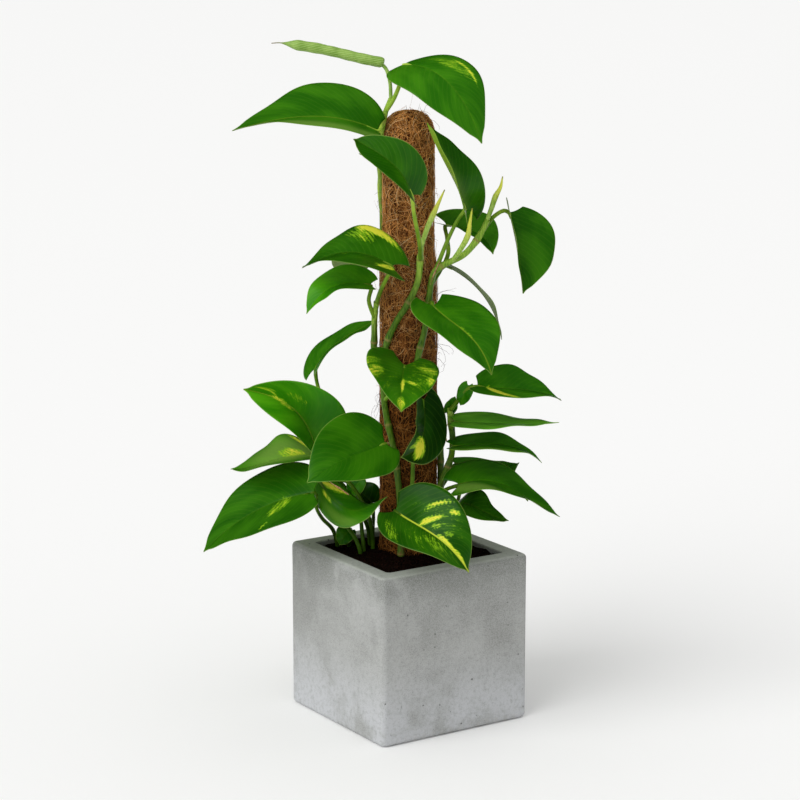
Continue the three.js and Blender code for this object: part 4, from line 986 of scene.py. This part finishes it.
def blade_skin(leaf, number, rows, columns):
    """The blade: at u along and v across, the rib's point at s = u + 0.1 sin(pi u) |v| less the
    lobe, plus the half width times v sideways and its rise with the fold, curl and wave. The side
    veins draw it in by the pleat, the rib sits in a groove above and stands out below, and it
    thins towards its margin."""
    u = BLADE_END * np.linspace(0, 1, rows + 1) ** CROWD
    v = np.linspace(-1, 1, columns + 1)
    v = np.sign(v) * np.abs(v) ** CROWD
    U, V = np.meshgrid(u, v, indexing="ij")
    out = np.abs(V)
    hand = np.sign(V)
    s = U + 0.1 * np.sin(np.pi * U) * out - 0.13 * leaf["lobe"] * (1 - U) ** 4 * out**1.6
    point, along, ahead, up = rib_at(leaf, s)
    turn = np.radians(leaf["twist"]) * (s - 0.5)[..., None]
    face = up * np.cos(turn) + np.cross(ahead, up) * np.sin(turn)
    side = arrow_of(np.cross(along, face))
    normal = np.cross(side, along)
    across = leaf["width"] / 2 * (1 + leaf["lean"] * hand) * half_width(U) * V
    fold = math.radians(leaf["fold"])
    wave = np.sin(2 * np.pi * 2.2 * U + 1.2 * hand + leaf["width"])
    lift = np.abs(across) * math.sin(fold) + leaf["curl"] * out**2 * half_width(U)
    lift += 1.2 * out**2 * wave * np.sin(np.pi * U)
    length = np.linalg.norm(np.subtract(leaf["tip"], leaf["base"]))
    vein = (U - VEIN_LEAN * out**VEIN_BEND) * length
    pucker = np.cos(2 * np.pi * vein / VEIN_GAP) * np.minimum(out * 3, 1) * (1 - out**4)
    lift -= leaf["pleat"] * pucker * np.sin(np.pi * U) ** 0.5 * min(1, length / 90)
    middle = point + side * (across * math.cos(fold))[..., None] + normal * lift[..., None]

    # The two faces lie half the thickness off the middle.
    over, down = np.gradient(middle, axis=1), np.gradient(middle, axis=0)
    outward = arrow_of(np.cross(over, down))
    thick = 0.3 - 0.14 * out**3
    width = leaf["width"]
    rib_wide = 1.1 * min(1, width / 60) * (1 - 0.7 * U) + 0.25
    ridge = np.exp(-((across / rib_wide) ** 2)) * min(1, width / 60)
    above = middle + outward * (thick - 0.45 * ridge * (1 - 0.6 * U))[..., None]
    below = middle - outward * (thick + 0.9 * ridge * (1 - 0.8 * U) ** 1.2)[..., None]

    def marks(spots):
        """Soft-edged ovals that lie along the side veins: at (u, v), with a half size across the
        veins and one along them, and a strength. It fades as exp(-0.7 r^4) at r half sizes."""
        total = np.zeros_like(U)
        for at, off, thin, long, strength in spots:
            off_vein = U - at - VEIN_LEAN * (out**VEIN_BEND - abs(off) ** VEIN_BEND)
            reach = (off_vein / thin) ** 2 + ((V - off) / long) ** 2
            total = np.maximum(total, strength * np.exp(-(reach**2) * 0.7))
        return total

    grid = np.arange(U.size).reshape(U.shape)
    a, b, c, d = grid[:-1, :-1], grid[:-1, 1:], grid[1:, 1:], grid[1:, :-1]
    top_faces = np.stack([a, b, c, d], -1).reshape(-1, 4)
    under = U.size
    rim = np.concatenate([grid[0, :-1], grid[:-1, -1], grid[-1, :0:-1], grid[:0:-1, 0]])
    after = np.roll(rim, -1)
    edge_faces = np.stack([rim, rim + under, after + under, after], -1)
    # What the material reads at each point: the way along the leaf and off the rib in metres with
    # a number of the leaf's own; the yellow marks, the pale ones of painted light and 1 on the
    # underside; the distance to the margin, 1 on a stalk and the tone, which holds painted light
    # and shade; the rib's yellow and the back's lime, painted light shining through the blade.
    none = np.zeros_like(U)
    edge = np.minimum((1 - out) * half_width(U) * width / 2, (0.99 - U) * length)
    parts = {
        "blade_way": [vein / 1000, np.abs(across) / 1000, number * 0.37 + 0.1 * (V > 0)],
        "blade_marks": [marks(leaf["splash"]), marks(leaf["pale"]), none],
        "blade_rest": [edge, none, none + leaf["tone"]],
        "blade_own": [none + leaf["rib"], none + leaf["back"], none],
    }
    blade = {
        "places": np.concatenate([above.reshape(-1, 3), below.reshape(-1, 3)]),
        "quads": np.concatenate([top_faces, top_faces[:, ::-1] + under, edge_faces]),
        "tris": np.zeros((0, 3), int),
    }
    for name, values in parts.items():
        blade[name] = np.tile(np.stack(values, -1).reshape(-1, 3), (2, 1))
    blade["blade_marks"][under:, 2] = 1
    return blade


# The stalk's radius at its foot, at the blade and where it runs out under the rib.
STALK_FOOT = 2.5
STALK_NECK = 1.9
STALK_END = 0.9


def stalk_skin(leaf, number):
    """The stalk: a path through its points and on under the rib, as thick as its three radii say
    and even between them, with a shallow groove, and a knee 15% thicker at the blade."""
    points = list(leaf["stalk"])
    for s, drop in ((0, 1.0), (0.08, 0.7)):
        point, _, _, up = rib_at(leaf, s)
        points.append(point - up * drop)
    steps = np.linalg.norm(np.diff(points, axis=0), axis=1)
    neck = steps[:-1].sum() / steps.sum()
    count = int(np.clip(steps.sum() / 4, 14, 40))
    path, length = smooth_path(points, count)
    t = np.linspace(0, 1, count)
    radius = np.interp(t, [0, neck, 1], [STALK_FOOT, STALK_NECK, STALK_END])
    knee = 1 + 0.15 * np.exp(-(((t - neck) * length + 4) / 5) ** 2)
    sides = 12
    turn = np.arange(sides) * 2 * np.pi / sides
    groove = 1 - 0.13 * np.exp(-((np.angle(np.exp(1j * (turn - np.pi / 2))) / 0.5) ** 2))
    part = closed_skin(stem_rings(path, (radius * knee)[:, None] * groove, sides))
    total = len(part["places"])
    shares = np.concatenate([np.repeat(t, sides), [0, 1]])
    part["blade_way"] = np.stack(
        [shares * length / 1000, np.zeros(total), np.full(total, number * 0.37)], -1
    )
    part["blade_marks"] = np.zeros((total, 3))
    part["blade_rest"] = np.tile([5.0, 1.0, leaf["tone"]], (total, 1))
    part["blade_own"] = np.zeros((total, 3))
    return part


# Pothos leaf: a leathery blade with a smooth cuticle, deep green with lighter ribs, a pale line
# along the margin, and yellow to lime streaks that run along the side veins. Broad lighter patches
# on it are partly uneven tone and partly painted sheen. The underside is greyer and matt, or lime
# where painted light shines through the blade. The stalk is a lighter, yellowish green: darker low
# down with painted shade under the leaves, and lighter higher up, partly as younger growth and
# partly with painted light.
leaf_skin, tree, skin = new_finish("glossy_pothos_leaf")
way, marks, rest, own = (
    node(tree, "Attribute", attribute_name="blade_" + name)["Vector"]
    for name in ("way", "marks", "rest", "own")
)
vein, off_rib, _ = node(tree, "SeparateXYZ", {0: way})
splash, pale, under = node(tree, "SeparateXYZ", {0: marks})
margin, on_stalk, tone = node(tree, "SeparateXYZ", {0: rest})
rib, back, _ = node(tree, "SeparateXYZ", {0: own})
space = node(tree, "TexCoord")["Object"]

# Streaks 2.2 mm wide and 12 mm long beside the side veins, with speckles of 1.6 mm, let the
# yellow marks reach further in some places than in others.
streaky = node(tree, "Mapping", {0: way, "Scale": (1, 0.18, 1)})[0]
streak = node(tree, "TexNoise", {"Vector": streaky, "Scale": 460, "Detail": 4, "Roughness": 0.6})[0]
speckle = node(tree, "TexNoise", {"Vector": way, "Scale": 620, "Detail": 2, "Roughness": 0.5})[0]
mixed = node(tree, "Math", {0: speckle, 1: 0.35}, operation="MULTIPLY")[0]
mixed = node(tree, "Math", {0: streak, 1: 0.65, 2: mixed}, operation="MULTIPLY_ADD")[0]
mixed = node(tree, "Math", {0: mixed, 1: 0.5}, operation="SUBTRACT")[0]
reach = node(tree, "Math", {0: mixed, 1: 1.7, 2: splash}, operation="MULTIPLY_ADD")[0]

# The side veins are fine lighter lines 6.2 mm apart that waver a little.
broad = node(tree, "TexNoise", {"Vector": way, "Scale": 34, "Detail": 3})[0]
waver = node(tree, "Math", {0: broad, 1: 0.0016, 2: vein}, operation="MULTIPLY_ADD")[0]
between = node(tree, "Math", {0: waver, 1: 0.0031}, operation="PINGPONG")[0]
side_vein = share_of(tree, (between, 0.0007, 0.0001, 0.06))

# The upper side: tone, set leaf by leaf, holds painted light and shade; the broad lighter patches
# are partly uneven tone and partly painted sheen; pale is painted light on the lit parts.
green = coated(
    tree, "082b01", ("358b06", tone),
    (coated(tree, "154302", ("53a610", tone)), (broad, 0.35, 0.68)),
    ("88ae48", pale), ("86b03a", side_vein), ("7fb31a", (reach, 0.3, 0.56, 0.9)),
    ("d9d93e", (reach, 0.52, 0.78)), ("b9c83a", (off_rib, 0.0013, 0.0004), rib),
    ("a3bd58", (margin, 0.6, 0.25, 0.45)),
)
# The underside: its lime, by back, is painted light that shines through the blade.
grey_green = coated(
    tree, "3f5c1c", ("8ba650", tone),
    (coated(tree, "4d6b28", ("9db463", tone)), (broad, 0.35, 0.68)),
    ("7da22a", back), ("b9c46a", (reach, 0.4, 0.6, 0.6)),
)
fibre = node(tree, "Mapping", {0: way, "Scale": (0.1, 1, 1)})[0]
fibre = node(tree, "TexNoise", {"Vector": fibre, "Scale": 300, "Detail": 3})[0]
height = node(tree, "SeparateXYZ", {0: space})[2]
# Low down the stalks are darker with painted shade under the leaves; higher up they are lighter,
# partly as younger growth and partly with painted light.
out_of_low_shade, young = (height, 0.2, 0.36), (height, 0.47, 0.6)
stalk_green = coated(
    tree, "234105", ("426c10", out_of_low_shade), ("7eaa2e", young),
    (coated(tree, "456912", ("7fa42e", out_of_low_shade), ("b4cf50", young)), (fibre, 0.35, 0.65)),
)
# The skin's cells are drawn 0.7 mm across, some ten times too large, so that they break the gloss.
cells = node(tree, "TexNoise", {"Vector": space, "Scale": 1500, "Detail": 2})[0]
relief = node(tree, "Math", {0: cells, 1: 0.25, 2: side_vein}, operation="MULTIPLY_ADD")[0]
feed(tree, skin, {
    "Base Color": coated(
        tree, green, (grey_green, (under, 0.4, 0.6)), (stalk_green, (on_stalk, 0.4, 0.6))
    ),
    "Roughness": share_of(tree, (under, 0.4, 0.6, 0.5, 0.3)),
    "Normal": node(tree, "Bump", {"Strength": 0.2, "Distance": 0.0005, "Height": relief})[0],
    "Specular IOR Level": 0.11,
})

for number, row in enumerate(LEAVES):
    leaf = {**LEAF, **row}
    fineness = (26, 18) if leaf["width"] < 40 else (52, 34)
    parts = [blade_skin(leaf, number, *fineness), stalk_skin(leaf, number)]
    if "sheath" in leaf:
        parts.append(blade_skin({**LEAF, **leaf["sheath"], "tone": 0.6}, number, 20, 12))
    whole = joined(parts)
    whole["places"] = planted(whole["places"])
    make_piece("pothos_" + leaf["name"], whole, leaf_skin, [leaf["name"]])


# ======== Rolled leaf at the top ========
# The topmost leaf: a pale full-grown blade rolled lengthwise into a tube that lies along the air,
# with a blunt closed mouth at its stalk, a lapped seam and a withered point at its far end.

ROLL_RADIUS = 5.5
ROLL_TIP = 0.5

# Pale leaf tissue, striped aslant where the side veins of the rolled blade wind round it.
rolled_skin, tree, skin = new_finish("pale_rolled_leaf")
turns = node(tree, "Attribute", attribute_name="roll_way")["Vector"]
stripe, share, _ = node(tree, "SeparateXYZ", {0: turns})
space = node(tree, "TexCoord")["Object"]
patch = node(tree, "TexNoise", {"Vector": space, "Scale": 120, "Detail": 3})[0]
streak = node(tree, "TexNoise", {"Vector": turns, "Scale": 420, "Detail": 2})[0]
band = node(tree, "Math", {0: stripe, 1: 0.003}, operation="PINGPONG")[0]
colour = coated(
    tree, "7aa040", ("93b457", (patch, 0.35, 0.65)), ("b9d386", (band, 0.0014, 0.0002, 0.5)),
    ("5f8a2c", (streak, 0.45, 0.7, 0.4)), ("75683c", (share, 0.86, 0.97)),
)
feed(tree, skin, {"Base Color": colour, "Roughness": 0.42, "Specular IOR Level": 0.2})


def rolled_blade(points, count=90, sides=28):
    """A tube along the points, 5.5 mm in radius, that rounds off to 3.4 mm over the first 4% and
    narrows to 0.5 mm between 76% and 93% of its length. The lap makes it up to 6% thicker just
    before the seam, which winds once round, and it swells by 3% every 17 mm."""
    path, length = smooth_path(points, count)
    t = np.linspace(0, 1, count) ** 1.15
    path = np.stack([np.interp(t, np.linspace(0, 1, count), path[:, k]) for k in range(3)], -1)
    thin = np.clip((t - 0.76) / 0.17, 0, 1)
    radius = ROLL_RADIUS + (ROLL_TIP - ROLL_RADIUS) * thin * thin * (3 - 2 * thin)
    mouth = np.clip(t / 0.04, 0, 1)
    radius *= 0.6 + 0.4 * np.sqrt(mouth * (2 - mouth))
    radius *= 1 + 0.03 * np.sin(2 * np.pi * t * length / 17)
    turn = np.arange(sides) * 2 * np.pi / sides
    lap = np.angle(np.exp(1j * (turn[None] - 2 * np.pi * t[:, None] + 0.6))) / np.pi
    part = closed_skin(stem_rings(path, radius[:, None] * (0.97 + 0.06 * lap), sides))
    aslant = (t[:, None] * length + 2.2 * turn[None] * ROLL_RADIUS) / 1000
    share = np.broadcast_to(t[:, None], aslant.shape)
    way = np.stack([aslant, share, 0.02 * np.cos(turn)[None] + 0 * share], -1).reshape(-1, 3)
    part["roll_way"] = np.concatenate([way, [[0, 0, 0], [0, 1, 0]]])
    return part


blade = rolled_blade(
    [[-25, 6, 690], [-50, 8, 695], [-80, 10, 702], [-110, 11, 707], [-124, 12, 709],
     [-132, 12, 710], [-140, 13, 709.5]]
)
path, _ = smooth_path([[-18, -3, 654], [-19, 1, 671], [-23, 5, 684], [-30, 6, 691]], 24)
stalk = closed_skin(stem_rings(path, np.full((24, 1), 1.9), 12))
stalk["roll_way"] = np.tile([0.0015, 0.3, 0.5], (len(stalk["places"]), 1))
whole = joined([blade, stalk])
whole["places"] = planted(whole["places"])
make_piece("pothos_leaf_top_rolled", whole, rolled_skin, ["leaf_top_rolled"])


# ======== Young shoots ========
# New leaves, still rolled up tight: each margin laps over the other in a long spiral seam, green
# at the foot and yellow towards a thin pointed tip.

SHOOTS = {
    "shoot_centre": [[13, -37, 506], [18, -43, 524], [28, -52, 549], [36, -60, 568]],
    "shoot_right": [[80, -20, 530], [85, -20, 544], [89, -20, 556], [94, -21, 566], [96, -22, 577]],
    "shoot_sheath": [
        [43, -32, 489], [53, -42, 505], [60, -50, 520], [62, -54, 535], [64, -56, 549]
    ],
}

# Unripe leaf tissue: smooth, pale and a little waxy.
shoot_skin, tree, skin = new_finish("rolled_young_leaf")
share = node(tree, "Attribute", attribute_name="shoot_share")["Fac"]
along = node(tree, "Mapping", {0: node(tree, "TexCoord")["Object"], "Scale": (1, 1, 0.15)})[0]
lines = node(tree, "TexNoise", {"Vector": along, "Scale": 700, "Detail": 3})[0]
colour = coated(
    tree, "86ad3a", ("b2cf62", (lines, 0.35, 0.65)), ("cdd243", (share, 0.35, 0.8)),
    ("8d8a2c", (share, 0.93, 1.0)),
)
feed(tree, skin, {"Base Color": colour, "Roughness": 0.38})

for name, points in SHOOTS.items():
    path = smooth_path(points, 48)[0]
    t = np.linspace(0, 1, 48)
    radius = np.where(t < 0.55, 2.2 + t / 0.55, 3.2 - 2.6 * (t - 0.55) / 0.45)
    turn = np.arange(20) * 2 * np.pi / 20
    # The lapped margin makes the roll a little thicker just before the seam.
    lap = np.angle(np.exp(1j * (turn[None] - 1.5 * t[:, None] - 1.0))) / np.pi
    rings = stem_rings(path, radius[:, None] * (0.95 + 0.1 * lap), 20)
    rolled = closed_skin(rings)
    rolled["shoot_share"] = np.concatenate([np.repeat(t, 20), [0, 1]])
    rolled["places"] = planted(rolled["places"])
    make_piece("rolled_" + name, rolled, shoot_skin, [name])


# ======== Setting ========
# A pale seamless floor, an even white surround and one broad soft lamp at the upper left in
# front, and a long lens that looks a little down.

floor_mesh = bpy.data.meshes.new("floor")
corners = [(x, y, -0.0002) for x, y in ((-40, -40), (40, -40), (40, 40), (-40, 40))]
floor_mesh.from_pydata(corners, [], [(0, 1, 2, 3)])
floor = bpy.data.objects.new("floor", floor_mesh)
bpy.context.scene.collection.objects.link(floor)
paper, tree, skin = new_finish("pale_floor_paper")
feed(tree, skin, {"Base Color": "f9f9f8", "Roughness": 0.9, "Specular IOR Level": 0.1})
floor_mesh.materials.append(paper)

world = bpy.data.worlds.new("studio")
world.use_nodes = True
sky = world.node_tree.nodes["Background"]
feed(world.node_tree, sky, {"Color": "ffffff", "Strength": 0.71})
bpy.context.scene.world = world
# The walls round the studio are dark, so that only the lamp is mirrored in the glossy leaves.
world.cycles_visibility.glossy = False

key = bpy.data.lights.new("key", "SUN")
key.energy = 1.57
key.angle = math.radians(50)
lamp = bpy.data.objects.new("key", key)
lamp.rotation_euler = Vector((-0.74, -0.12, 0.6)).to_track_quat("Z", "Y").to_euler()
bpy.context.scene.collection.objects.link(lamp)

bpy.context.scene.view_settings.view_transform = "Standard"

camera = bpy.data.cameras.new("camera")
camera.lens = 113.2
camera.sensor_width = 36
camera.clip_end = 200
viewer = bpy.data.objects.new("camera", camera)
turn, rise, away = math.radians(-33.18), math.radians(11.88), 2.630
aim = Vector((-0.0104, 0, 0.3406))
stand = Vector(
    (math.sin(turn) * math.cos(rise), -math.cos(turn) * math.cos(rise), math.sin(rise))
)
viewer.location = aim + away * stand
viewer.rotation_euler = stand.to_track_quat("Z", "Y").to_euler()
bpy.context.scene.collection.objects.link(viewer)
bpy.context.scene.camera = viewer
